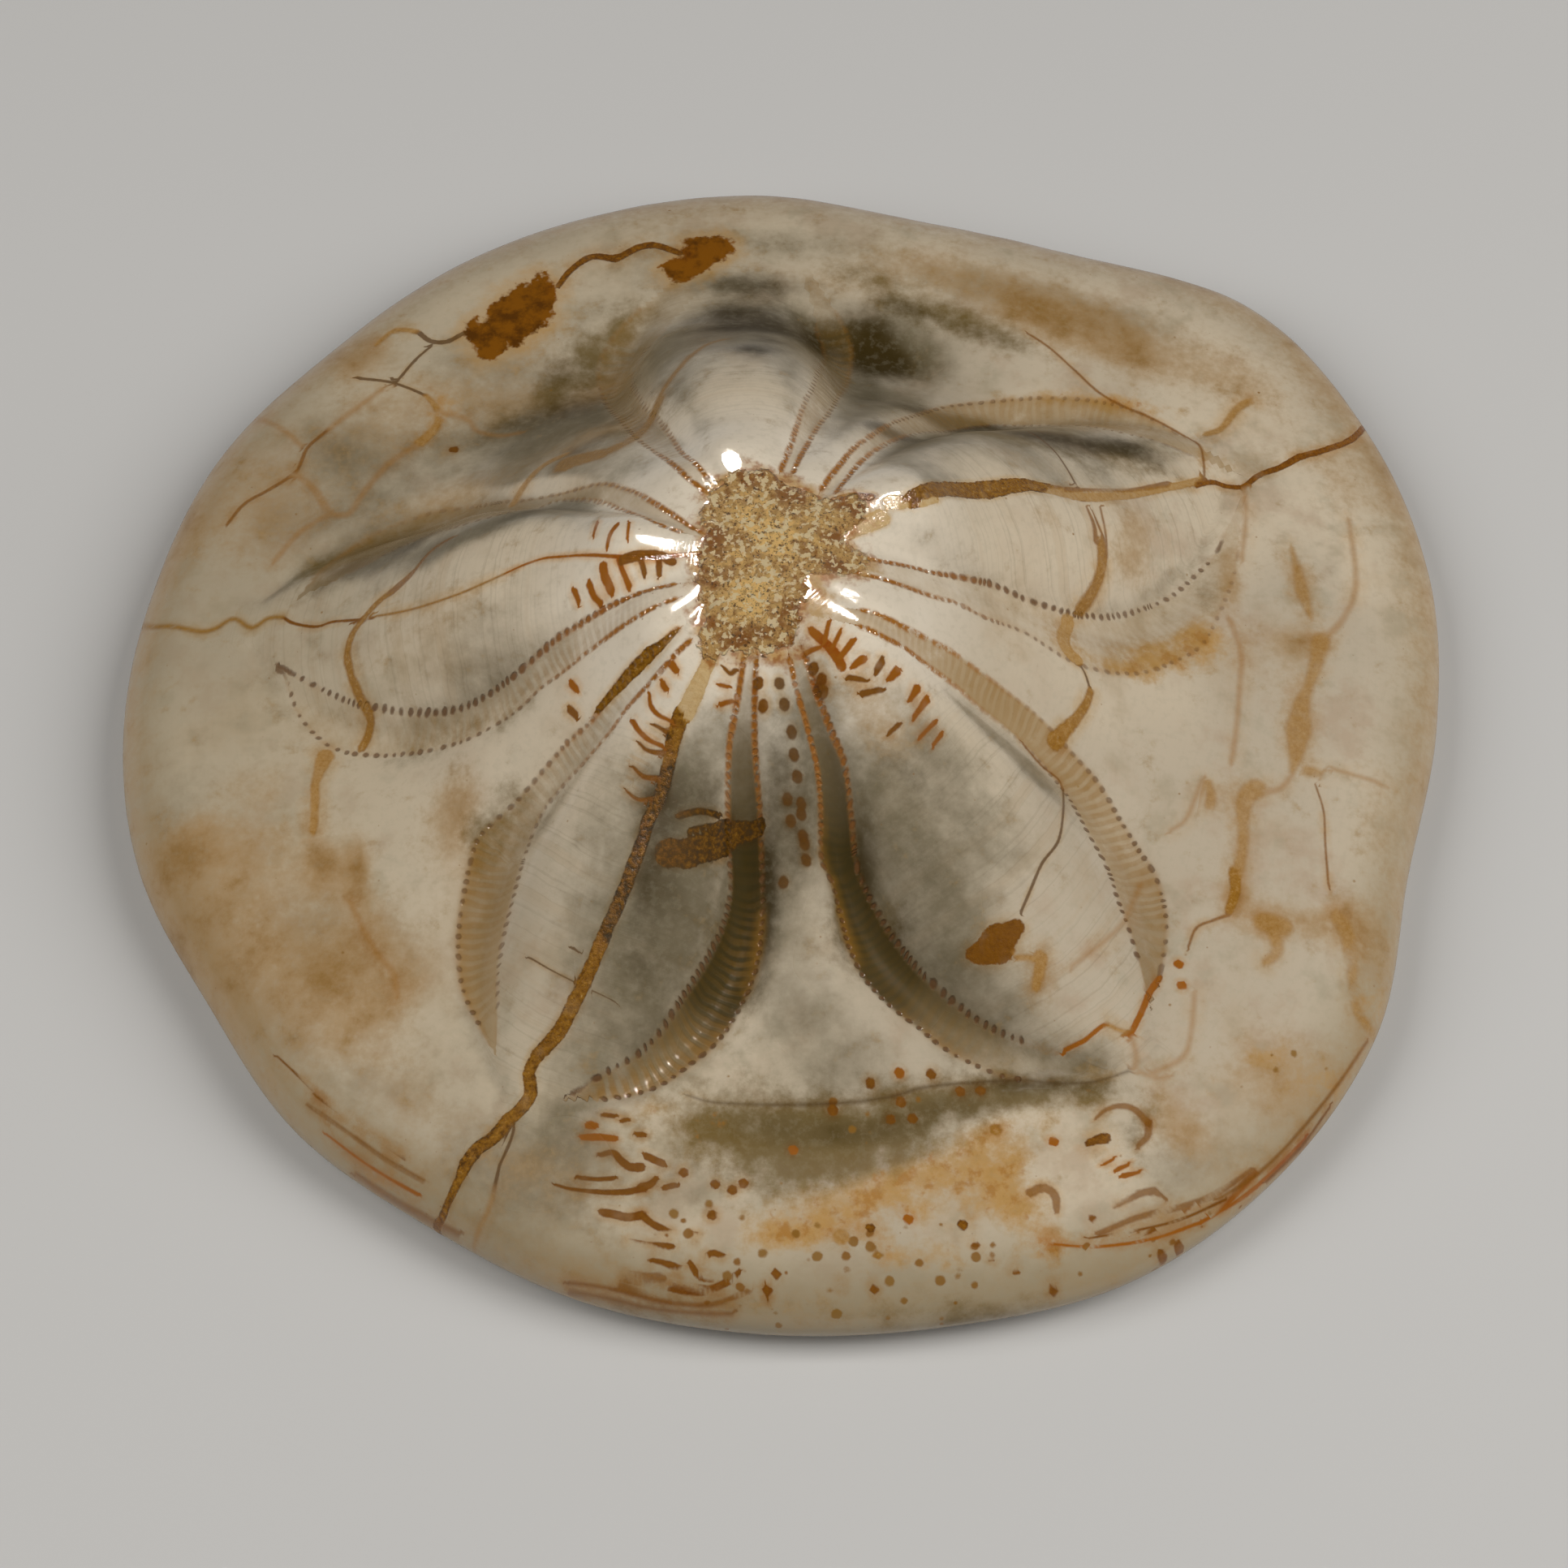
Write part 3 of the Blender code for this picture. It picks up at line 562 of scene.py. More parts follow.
# %% Veins and seams: kind, then each line's half width at its two ends and its pixels, x and y in turn
SEAMS = [
    # the wide vein towards the right, out of the rough patch
    ("brown vein", (0.9, 0.5, 1025, 622, 1048, 612, 1072, 612)),
    ("cream vein", (0.9, 1.0, 1044, 655, 1062, 648, 1086, 638), (0.9, 0.7, 1098, 618, 1112, 620)),
    ("gold vein", (0.9, 1.25, 1122, 616, 1140, 606, 1167, 602, 1214, 603)),
    ("cream vein", (0.5, 0.4, 1136, 619, 1153, 615)),
    ("gold vein", (1.25, 0.75, 1214, 603, 1257, 597, 1295, 602)),
    ("tan vein", (0.75, 0.45, 1290, 602, 1333, 612, 1371, 611, 1410, 606, 1448, 599, 1481, 590)),
    ("brown seam", (0.25, 0.2, 1257, 592, 1300, 600, 1371, 604, 1440, 594)),
    ("red vein", (0.3, 0.35, 1470, 600, 1495, 594, 1529, 601),
     (0.3, 0.45, 1529, 601, 1540, 594, 1552, 585, 1579, 575, 1600, 563),
     (0.45, 0.3, 1600, 563, 1633, 554, 1667, 540, 1692, 532, 1712, 526)),
    # the wide vein towards the rear left
    ("cream vein", (0.7, 1.0, 877, 806, 868, 827, 860, 845, 852, 862, 846, 876)),
    ("gold vein", (0.95, 0.7, 838, 884, 833, 900, 827, 925, 822, 952)),
    ("dark vein", (0.75, 0.7, 830, 905, 822, 952, 812, 985, 800, 1008, 790, 1040),
     (0.7, 0.75, 790, 1040, 778, 1072, 768, 1098, 752, 1135, 741, 1160)),
    ("gold vein", (0.75, 0.8, 745, 1150, 728, 1192, 712, 1226, 698, 1255, 684, 1277, 662, 1300),
     (0.65, 0.7, 662, 1300, 652, 1322, 654, 1348, 640, 1368, 622, 1382)),
    ("brown vein", (0.75, 0.7, 620, 1388, 606, 1403, 588, 1416, 574, 1434)),
    ("gold vein", (0.5, 0.4, 576, 1430, 565, 1455, 553, 1480, 545, 1500, 538, 1516)),
    ("hairline", (0.16, 0.2, 634, 1384, 631, 1400, 622, 1422, 614, 1440, 610, 1462, 604, 1486)),
    ("faint seam", (0.3, 0.3, 610, 1462, 604, 1486, 592, 1511, 586, 1528)),
    ("hairline", (0.1, 0.05, 652, 1180, 676, 1194, 708, 1210), (0.06, 0.04, 728, 1220, 760, 1236),
     (0.14, 0.08, 706, 1168, 714, 1174)),
    ("brown mark", (0.3, 0.15, 826, 905, 806, 893), (0.3, 0.15, 822, 930, 798, 925, 788, 916),
     (0.3, 0.15, 815, 960, 793, 957, 780, 945), (0.25, 0.12, 806, 985, 786, 985, 772, 975)),
    # the thin vein towards the left
    ("orange mark", (0.3, 0.18, 870, 682, 840, 684, 800, 686, 760, 686, 710, 684),
     (0.18, 0.14, 710, 684, 688, 686, 670, 688, 646, 696, 622, 707)),
    ("gold seam", (0.14, 0.16, 622, 707, 598, 718, 566, 732, 530, 744, 494, 754, 458, 760)),
    ("brown mark", (0.16, 0.2, 458, 762, 438, 764, 410, 766, 390, 772, 362, 768, 348, 760)),
    ("olive seam", (0.28, 0.3, 348, 760, 330, 762, 310, 774, 288, 762, 266, 774, 246, 778, 212, 772),
     (0.3, 0.3, 212, 772, 182, 772, 160, 774)),
    # seams between the plates, on and beside the petals
    ("brown seam", (0.16, 0.2, 558, 662, 540, 672, 526, 684, 512, 702),
     (0.4, 0.5, 508, 706, 496, 718, 482, 730)),
    ("gold seam", (0.4, 0.42, 482, 730, 466, 742, 450, 760, 434, 782, 428, 808, 434, 838),
     (0.45, 0.5, 434, 838, 444, 860, 456, 882, 455, 902, 446, 922)),
    ("tan seam", (1.0, 0.5, 400, 932, 394, 950, 388, 966), (0.5, 0.45, 388, 966, 388, 992, 386, 1024)),
    ("hairline", (0.1, 0.12, 1267, 532, 1290, 547, 1305, 563, 1319, 585, 1329, 604, 1338, 623)),
    ("brown seam", (0.14, 0.3, 1338, 623, 1348, 647, 1350, 668),
     (0.12, 0.14, 1355, 623, 1362, 656, 1364, 685)),
    ("gold seam", (0.55, 0.5, 1356, 668, 1358, 690, 1354, 712, 1343, 735, 1329, 754)),
    ("tan vein", (0.7, 0.75, 1316, 764, 1310, 786, 1316, 802, 1326, 812)),
    ("hairline", (0.12, 0.14, 1324, 811, 1336, 828, 1344, 852)),
    ("gold seam", (0.4, 0.55, 1344, 852, 1338, 868, 1326, 886),
     (0.55, 0.9, 1326, 886, 1312, 900, 1300, 914)),
    ("olive seam", (0.35, 0.3, 850, 440, 872, 424, 892, 418),
     (0.35, 0.4, 812, 490, 820, 476, 835, 456, 851, 438),
     (0.7, 0.6, 738, 562, 772, 545, 800, 520, 813, 492), (1.4, 1.0, 697, 572, 715, 566, 740, 560)),
    ("tan seam", (0.5, 0.45, 632, 622, 640, 608, 651, 592, 672, 572, 697, 560)),
    # the network of seams at the front left
    ("hairline", (0.3, 0.3, 572, 410, 551, 421, 530, 420, 515, 409)),
    ("tan seam", (0.35, 0.3, 515, 409, 488, 406, 472, 417, 464, 424)),
    ("hairline", (0.16, 0.2, 538, 421, 513, 442, 492, 467),
     (0.2, 0.18, 440, 466, 480, 471, 505, 479, 526, 488)),
    ("tan seam", (0.3, 0.6, 526, 488, 538, 504, 538, 525, 517, 546)),
    ("faint seam", (0.4, 0.4, 517, 546, 480, 571, 447, 608, 430, 633, 404, 634),
     (0.35, 0.35, 404, 634, 367, 658, 338, 692), (0.3, 0.4, 472, 479, 438, 504, 405, 529)),
    ("brown seam", (0.22, 0.22, 405, 529, 380, 550, 372, 567, 363, 583, 330, 604, 301, 621, 280, 646)),
    ("faint seam", (0.3, 0.3, 372, 550, 351, 531, 322, 517, 297, 533),
     (0.35, 0.5, 363, 583, 388, 604, 405, 633),
     (0.3, 0.3, 540, 508, 576, 517, 588, 531, 617, 537, 642, 533)),
    # the network of seams at the right
    ("tan seam", (0.5, 0.4, 1540, 494, 1524, 504, 1505, 528, 1486, 535)),
    ("brown seam", (0.14, 0.16, 1267, 411, 1295, 430, 1324, 456, 1352, 482, 1381, 499, 1410, 511),
     (0.16, 0.14, 1410, 511, 1443, 528, 1476, 547, 1483, 570, 1484, 590)),
    ("faint seam", (0.25, 0.25, 1533, 600, 1535, 640, 1530, 690),
     (0.35, 0.3, 1515, 763, 1529, 804, 1527, 853, 1523, 902, 1517, 939),
     (0.3, 0.4, 1662, 641, 1670, 700, 1668, 735, 1649, 771, 1627, 788)),
    ("soft band", (0.25, 0.8, 1592, 676, 1599, 705, 1604, 728),
     (0.8, 0.3, 1604, 728, 1610, 745, 1614, 760), (1.1, 0.5, 1628, 790, 1622, 815, 1613, 845),
     (0.5, 1.5, 1613, 845, 1604, 870, 1600, 900), (1.5, 0.3, 1600, 900, 1597, 927, 1592, 951),
     (0.7, 0.5, 1612, 950, 1626, 953)),
    ("faint seam", (0.3, 0.4, 1592, 955, 1577, 972, 1556, 976)),
    ("brown seam", (0.1, 0.14, 1621, 967, 1631, 1000, 1633, 1041, 1637, 1092)),
    ("faint seam", (0.2, 0.3, 1641, 947, 1682, 959, 1706, 967)),
    ("soft band", (1.2, 0.7, 1548, 972, 1534, 984, 1532, 1010),
     (0.6, 0.6, 1532, 1010, 1531, 1045, 1527, 1072)),
    ("gold seam", (0.7, 0.5, 1522, 1074, 1522, 1098, 1515, 1122)),
    ("brown seam", (0.2, 0.14, 1515, 1127, 1494, 1134, 1474, 1143, 1464, 1167)),
    ("soft band", (1.1, 1.3, 1556, 1136, 1578, 1142), (0.5, 0.8, 1560, 1185, 1574, 1172, 1570, 1150)),
    ("faint seam", (0.3, 0.3, 1472, 1224, 1468, 1269, 1458, 1302, 1421, 1322)),
    ("soft band", (1.0, 0.6, 1650, 1130, 1662, 1159, 1666, 1204),
     (0.5, 0.5, 1666, 1204, 1672, 1245, 1690, 1273), (0.4, 0.7, 1489, 965, 1492, 980, 1491, 992)),
    ("faint seam", (0.3, 0.2, 1482, 959, 1462, 1008, 1441, 1024)),
    # the thin line of stain at the left
    ("faint seam", (0.3, 0.35, 432, 1112, 448, 1146, 468, 1180, 484, 1197, 489, 1226)),
    ("brown seam", (0.12, 0.16, 448, 1146, 462, 1172, 482, 1195)),
    ("faint seam", (0.3, 0.2, 1404, 1092, 1384, 1136, 1360, 1160, 1320, 1192)),
    # the fine crack into the rust spot on the right rear petal, and the rust spots themselves
    ("brown seam", (0.14, 0.14, 1260, 916, 1284, 944, 1304, 960, 1310, 975)),
    ("hairline", (0.13, 0.16, 1310, 975, 1310, 1000, 1304, 1036, 1284, 1064, 1270, 1096, 1258, 1124)),
    ("rust spot", (0.8, 1.9, 1254, 1142, 1240, 1152, 1228, 1164),
     (1.9, 0.7, 1228, 1164, 1214, 1172, 1197, 1175)),
    ("tan seam", (0.7, 0.5, 1283, 1178, 1280, 1200, 1276, 1216), (0.3, 0.3, 1252, 1180, 1276, 1180)),
    ("orange mark", (0.22, 0.22, 1312, 1294, 1336, 1282, 1356, 1266, 1364, 1262)),
    ("tan seam", (0.25, 0.25, 1364, 1262, 1380, 1270, 1394, 1272)),
    ("orange mark", (0.3, 0.35, 1392, 1276, 1404, 1252, 1416, 1224, 1428, 1206)),
    ("faint seam", (0.3, 0.3, 1394, 1276, 1400, 1300, 1398, 1316),
     (0.25, 0.25, 1404, 1320, 1424, 1328, 1440, 1326)),
    # the fold across the rear
    ("fold", (0.08, 0.12, 848, 1350, 880, 1358, 940, 1360, 1011, 1359, 1058, 1356),
     (0.12, 0.12, 1058, 1356, 1101, 1349, 1140, 1338, 1190, 1333, 1261, 1329),
     (0.12, 0.08, 1261, 1329, 1300, 1333, 1340, 1333, 1369, 1327, 1398, 1318)),
    # the link of rust between the two stains at the front
    ("rust", (0.35, 0.55, 688, 352, 705, 331, 730, 316, 759, 319),
     (0.55, 0.45, 759, 319, 780, 308, 800, 302, 815, 304, 838, 312)),
]

# %% Short marks, in the same way
MARKS = [
    # the brown star at the foot of the right rear petal, and dashes on the petals' feet
    ("orange mark", (0.5, 0.55, 1000, 777, 1017, 793, 1030, 807, 1037, 820),
     (0.3, 0.25, 993, 805, 1010, 798), (0.25, 0.25, 1021, 767, 1016, 790),
     (0.25, 0.25, 1035, 779, 1026, 798), (0.35, 0.3, 1050, 790, 1036, 809),
     (0.4, 0.3, 1063, 812, 1052, 820)),
    ("brown mark", (0.35, 0.3, 1087, 815, 1080, 826)),
    ("orange mark", (0.4, 0.3, 1106, 826, 1096, 836), (0.4, 0.25, 1130, 848, 1122, 862),
     (0.35, 0.25, 1142, 862, 1126, 884)),
    ("brown mark", (0.3, 0.25, 1062, 855, 1086, 850)),
    ("orange mark", (0.25, 0.2, 1152, 890, 1134, 908), (0.25, 0.2, 1160, 905, 1150, 918)),
    ("brown mark", (0.25, 0.2, 1107, 893, 1096, 903), (0.3, 0.2, 1046, 835, 1066, 838)),
    ("orange mark", (0.3, 0.2, 760, 647, 752, 658, 748, 674), (0.2, 0.15, 775, 644, 773, 664),
     (0.2, 0.15, 736, 644, 731, 660), (0.5, 0.4, 743, 698, 746, 712, 753, 728),
     (0.25, 0.35, 762, 690, 768, 705, 775, 722), (0.35, 0.3, 726, 720, 732, 735, 740, 744),
     (0.3, 0.25, 708, 728, 713, 742)),
    ("brown mark", (0.6, 0.5, 768, 690, 790, 684, 812, 684, 828, 692), (0.35, 0.3, 790, 690, 794, 706),
     (0.35, 0.3, 812, 690, 812, 708)),
    ("orange mark", (0.22, 0.18, 800, 857, 802, 870, 812, 881, 828, 889),
     (0.28, 0.2, 780, 889, 787, 900, 800, 912, 817, 920), (0.4, 0.35, 828, 819, 833, 826),
     (0.35, 0.3, 816, 842, 820, 848), (0.35, 0.3, 704, 842, 710, 850)),
    ("brown mark", (0.35, 0.3, 702, 874, 710, 882), (0.2, 0.2, 893, 824, 900, 830, 906, 826)),
    ("orange mark", (0.25, 0.2, 888, 868, 902, 864), (0.2, 0.2, 888, 844, 896, 846)),
    # the golden streak along the rear left petal's outer pores
    ("gold vein", (0.25, 0.75, 833, 778, 815, 795, 797, 810),
     (0.75, 0.35, 797, 810, 773, 834, 753, 857, 738, 874)),
    # the dark blot beside the rear left petal's vein
    ("dark vein", (1.4, 1.2, 822, 1052, 850, 1050, 880, 1040),
     (1.2, 0.8, 880, 1040, 905, 1026, 935, 1020), (0.35, 0.3, 838, 1005, 860, 1000, 884, 1004),
     (0.3, 0.25, 850, 1024, 880, 1018, 900, 1020)),
    # dashes and short marks on the rear left of the flange
    ("orange mark", (0.45, 0.4, 726, 1386, 732, 1387), (0.36, 0.4, 718, 1401, 740, 1401, 757, 1403)),
    ("brown mark", (0.3, 0.25, 745, 1373, 757, 1375), (0.3, 0.3, 768, 1380, 772, 1380),
     (0.35, 0.35, 786, 1398, 792, 1398),
     (0.3, 0.5, 741, 1423, 755, 1420, 763, 1428, 776, 1438, 790, 1438),
     (0.4, 0.4, 796, 1424, 806, 1429, 817, 1434), (0.25, 0.25, 713, 1451, 735, 1453, 756, 1452),
     (0.15, 0.4, 685, 1460, 704, 1465, 741, 1469, 768, 1469, 792, 1465),
     (0.45, 0.4, 790, 1462, 800, 1460, 807, 1454), (0.35, 0.35, 820, 1463, 832, 1460),
     (0.45, 0.45, 741, 1494, 755, 1496, 771, 1500, 791, 1497),
     (0.4, 0.35, 791, 1497, 804, 1508, 827, 1519), (0.2, 0.4, 774, 1529, 796, 1533, 827, 1536),
     (0.2, 0.35, 802, 1552, 820, 1556, 838, 1564)),
    ("growth line", (0.5, 0.5, 768, 1574, 792, 1575, 816, 1576)),
    ("brown mark", (0.35, 0.35, 827, 1586, 846, 1590, 866, 1591, 893, 1581, 910, 1569),
     (0.35, 0.3, 852, 1558, 860, 1572, 879, 1576), (0.3, 0.3, 868, 1551, 877, 1543, 891, 1548)),
    ("growth line", (0.12, 0.22, 699, 1580, 754, 1588, 810, 1603, 860, 1608, 893, 1603, 921, 1591),
     (0.1, 0.16, 700, 1594, 760, 1602, 810, 1613, 866, 1618, 904, 1619)),
    ("brown mark", (0.35, 0.3, 943, 1583, 946, 1597)),
    # growth lines along the rim, left and right
    ("brown mark", (0.1, 0.16, 388, 1350, 432, 1380, 472, 1408, 500, 1428)),
    ("growth line", (0.14, 0.2, 380, 1362, 430, 1396, 478, 1430, 520, 1454)),
    ("orange mark", (0.08, 0.14, 400, 1396, 440, 1426, 480, 1452, 516, 1472)),
    ("growth line", (0.12, 0.18, 436, 1444, 480, 1474, 530, 1502, 566, 1520)),
    ("brown mark", (0.08, 0.12, 340, 1300, 372, 1330, 400, 1356)),
    ("growth line", (0.3, 0.26, 1354, 1520, 1404, 1499, 1458, 1486, 1500, 1470, 1545, 1440)),
    ("brown mark", (0.1, 0.14, 1340, 1526, 1400, 1516, 1456, 1502, 1510, 1478)),
    ("orange mark", (0.12, 0.16, 1276, 1531, 1351, 1536, 1422, 1526, 1480, 1506),
     (0.16, 0.16, 1480, 1506, 1530, 1476, 1570, 1442, 1610, 1402)),
    ("growth line", (0.16, 0.16, 1500, 1478, 1550, 1446, 1600, 1396, 1650, 1334, 1684, 1284)),
    ("brown mark", (0.1, 0.1, 1560, 1456, 1604, 1412, 1640, 1362)),
    # the lens-shaped mark and its neighbours at the rear right
    ("growth line", (0.2, 0.45, 1352, 1376, 1363, 1367, 1382, 1362, 1400, 1368, 1415, 1384),
     (0.45, 0.3, 1415, 1384, 1414, 1400, 1402, 1412)),
    ("rust", (0.45, 0.6, 1342, 1408, 1352, 1404, 1362, 1402)),
    ("orange mark", (0.2, 0.15, 1361, 1434, 1372, 1428), (0.25, 0.2, 1376, 1441, 1390, 1435),
     (0.3, 0.2, 1384, 1449, 1404, 1444)),
    ("growth line", (0.45, 0.3, 1374, 1484, 1400, 1472, 1425, 1466, 1436, 1474),
     (0.5, 0.4, 1270, 1470, 1285, 1463, 1300, 1472, 1302, 1490)),
]
# Round spots: kind, radius in millimetres, and the spots' pixels, x and y in turn
SPOTS = [
    ("brown mark", 0.45, 1072, 1334, 1110, 1356, 1344, 1497, 1452, 1536, 1431, 1547, 559, 554),
    ("brown mark", 0.35, 1147, 1323, 1183, 1343, 1208, 1342, 1202, 1531, 1220, 1547, 881, 1459,
     877, 1497),
    ("brown mark", 0.3, 1026, 1366, 1097, 1378, 1124, 1377, 902, 1466, 916, 1458, 856, 1524, 842, 1445),
    ("orange mark", 0.2, 977, 1416, 1298, 1406, 1119, 1502, 1108, 1322, 1456, 1214, 1452, 1188),
    ("gold seam", 0.85, 1227, 1391, 1081, 1543),
    ("rust", 0.6, 1072, 1513, 1186, 1509, 1292, 1527),
    ("tan seam", 1.0, 1036, 1524, 1300, 1545),
    ("brown mark", 0.4, 1038, 1581, 1077, 1586, 945, 1591, 956, 1570, 1251, 1563, 1297, 1588),
    ("dark mark", 0.24, 982, 957, 987, 990, 987, 1003, 989, 1030, 991, 1040, 993, 1060, 965, 1087),
    ("dark mark", 0.3, 960, 842, 966, 868, 975, 902, 978, 930, 970, 985, 974, 1012),
    ("brown mark", 0.25, 934, 842, 940, 870, 1002, 824, 1012, 838, 1008, 850, 1014, 853),
]


# %% Guides for the lines
LINE_MARGIN = 4.0           # millimetres round a line that know of it
SPOT_LENGTH = 0.05          # a round spot is a line this short, in millimetres
SPOT_DRAWN = 0.85           # share of a spot's radius that is drawn, because its soft edge adds to it


def laid_lines(groups):
    """Each line as its kind, its two half widths and its places on the stone."""
    return [(kind, start, end, smooth_line(on_stone(pixels)))
            for kind, *lines in groups for start, end, *pixels in lines]


def nearest_lines(lines):
    """Keeps, for each grid point, the line whose edge is nearest: distance minus half width."""
    gap = np.full(grid_x.size, FAR)
    place = np.tile([FAR, FAR, 0.1], (grid_x.size, 1))
    look = np.zeros((grid_x.size, 6))
    for kind, half_start, half_end, line in lines:
        offset, distance, along = beside_line(line, LINE_MARGIN)
        length = np.hypot(*np.diff(line, axis=0).T).sum()
        half = half_start + (half_end - half_start) * np.clip(along / max(length, 1e-6), 0, 1)
        if length < 2 * SPOT_LENGTH:        # a round spot has no sides to tell apart
            offset = np.where(distance < FAR, 0.0, FAR)
        closer = (distance - half < gap) & (distance < FAR)
        gap[closer] = (distance - half)[closer]
        place[closer] = np.column_stack([offset, distance, half])[closer]
        look[closer] = KINDS[kind]
    return gap, place, look


mark_lines = laid_lines(MARKS)
for kind, spot_radius, *pixels in SPOTS:
    half = SPOT_DRAWN * spot_radius
    for place in on_stone(pixels):
        mark_lines.append((kind, half, half, np.array([place, place + [SPOT_LENGTH, 0]])))

# Marks lie so close together that the grid would blur one into the next. So they are dealt
# out to three sheets, and each goes to the sheet where its nearest neighbour is furthest off.
SHEETS = ("mark_one", "mark_two", "mark_three")
sheet_lines = {name: [] for name in SHEETS}
for line in mark_lines:
    room = {}
    for name, others in sheet_lines.items():
        gaps = [np.hypot(*(line[3][:, None] - other[3][None]).T).min() for other in others]
        room[name] = min(gaps, default=FAR)
    sheet_lines[max(room, key=room.get)].append(line)

seam_gap, seam_place, seam_look = nearest_lines(laid_lines(SEAMS))
line_guides = {"seam": (seam_place, seam_look)}
for name, lines in sheet_lines.items():
    _, mark_place, mark_look = nearest_lines(lines)
    mark_look[~upper] = 0
    line_guides[name] = (mark_place, mark_look)
under_seam = ~upper & (seam_look[:, 4] < 0.9)       # only veins and gold seams run on below the rim
seam_look[under_seam] = 0
print("points inside a seam:", int((seam_gap < 0).sum()))
print("marks on each sheet:", [len(lines) for lines in sheet_lines.values()])

# %% [markdown]
# ## Stains, washes and the rough patch
#
# Some stains have a crisp edge, because the mineral stopped at a growth line. They are
# closed outlines, and a signed distance to the outline is negative inside. The others
# fade out like watercolour. They are bells laid over each other, and noise in the
# material breaks them up later, so that no bell shows as a round cloud. Not every wash is
# a stain: the darkest bells are painted shade, the grey bells are partly the stone's grey
# and partly painted shade, and the olive bells in the valleys are partly painted shade.

# %% Outlines of the rough patch and the crisp rust stains, in pixels of the photograph
ROUGH_PATCH = (
    876, 610, 884, 596, 905, 584, 930, 583, 955, 589, 980, 598, 1002, 612, 1026, 616, 1052, 612,
    1064, 630, 1046, 652, 1042, 668, 1062, 684, 1060, 700, 1024, 704, 996, 706, 992, 725, 984, 745,
    980, 770, 976, 792, 950, 802, 925, 800, 905, 802, 882, 806, 872, 800, 866, 780, 862, 750, 864, 725,
    858, 700, 864, 675, 872, 655, 868, 632,
)
RUST_STAINS = (
    (622, 358, 655, 342, 672, 337, 686, 358, 686, 379, 672, 400, 647, 417, 622, 433, 597, 444, 578, 429,
     574, 406, 597, 388, 611, 371),
    (812, 332, 826, 346, 850, 344, 872, 334, 894, 318, 906, 300, 894, 290, 868, 292, 848, 296,
     838, 312),
)
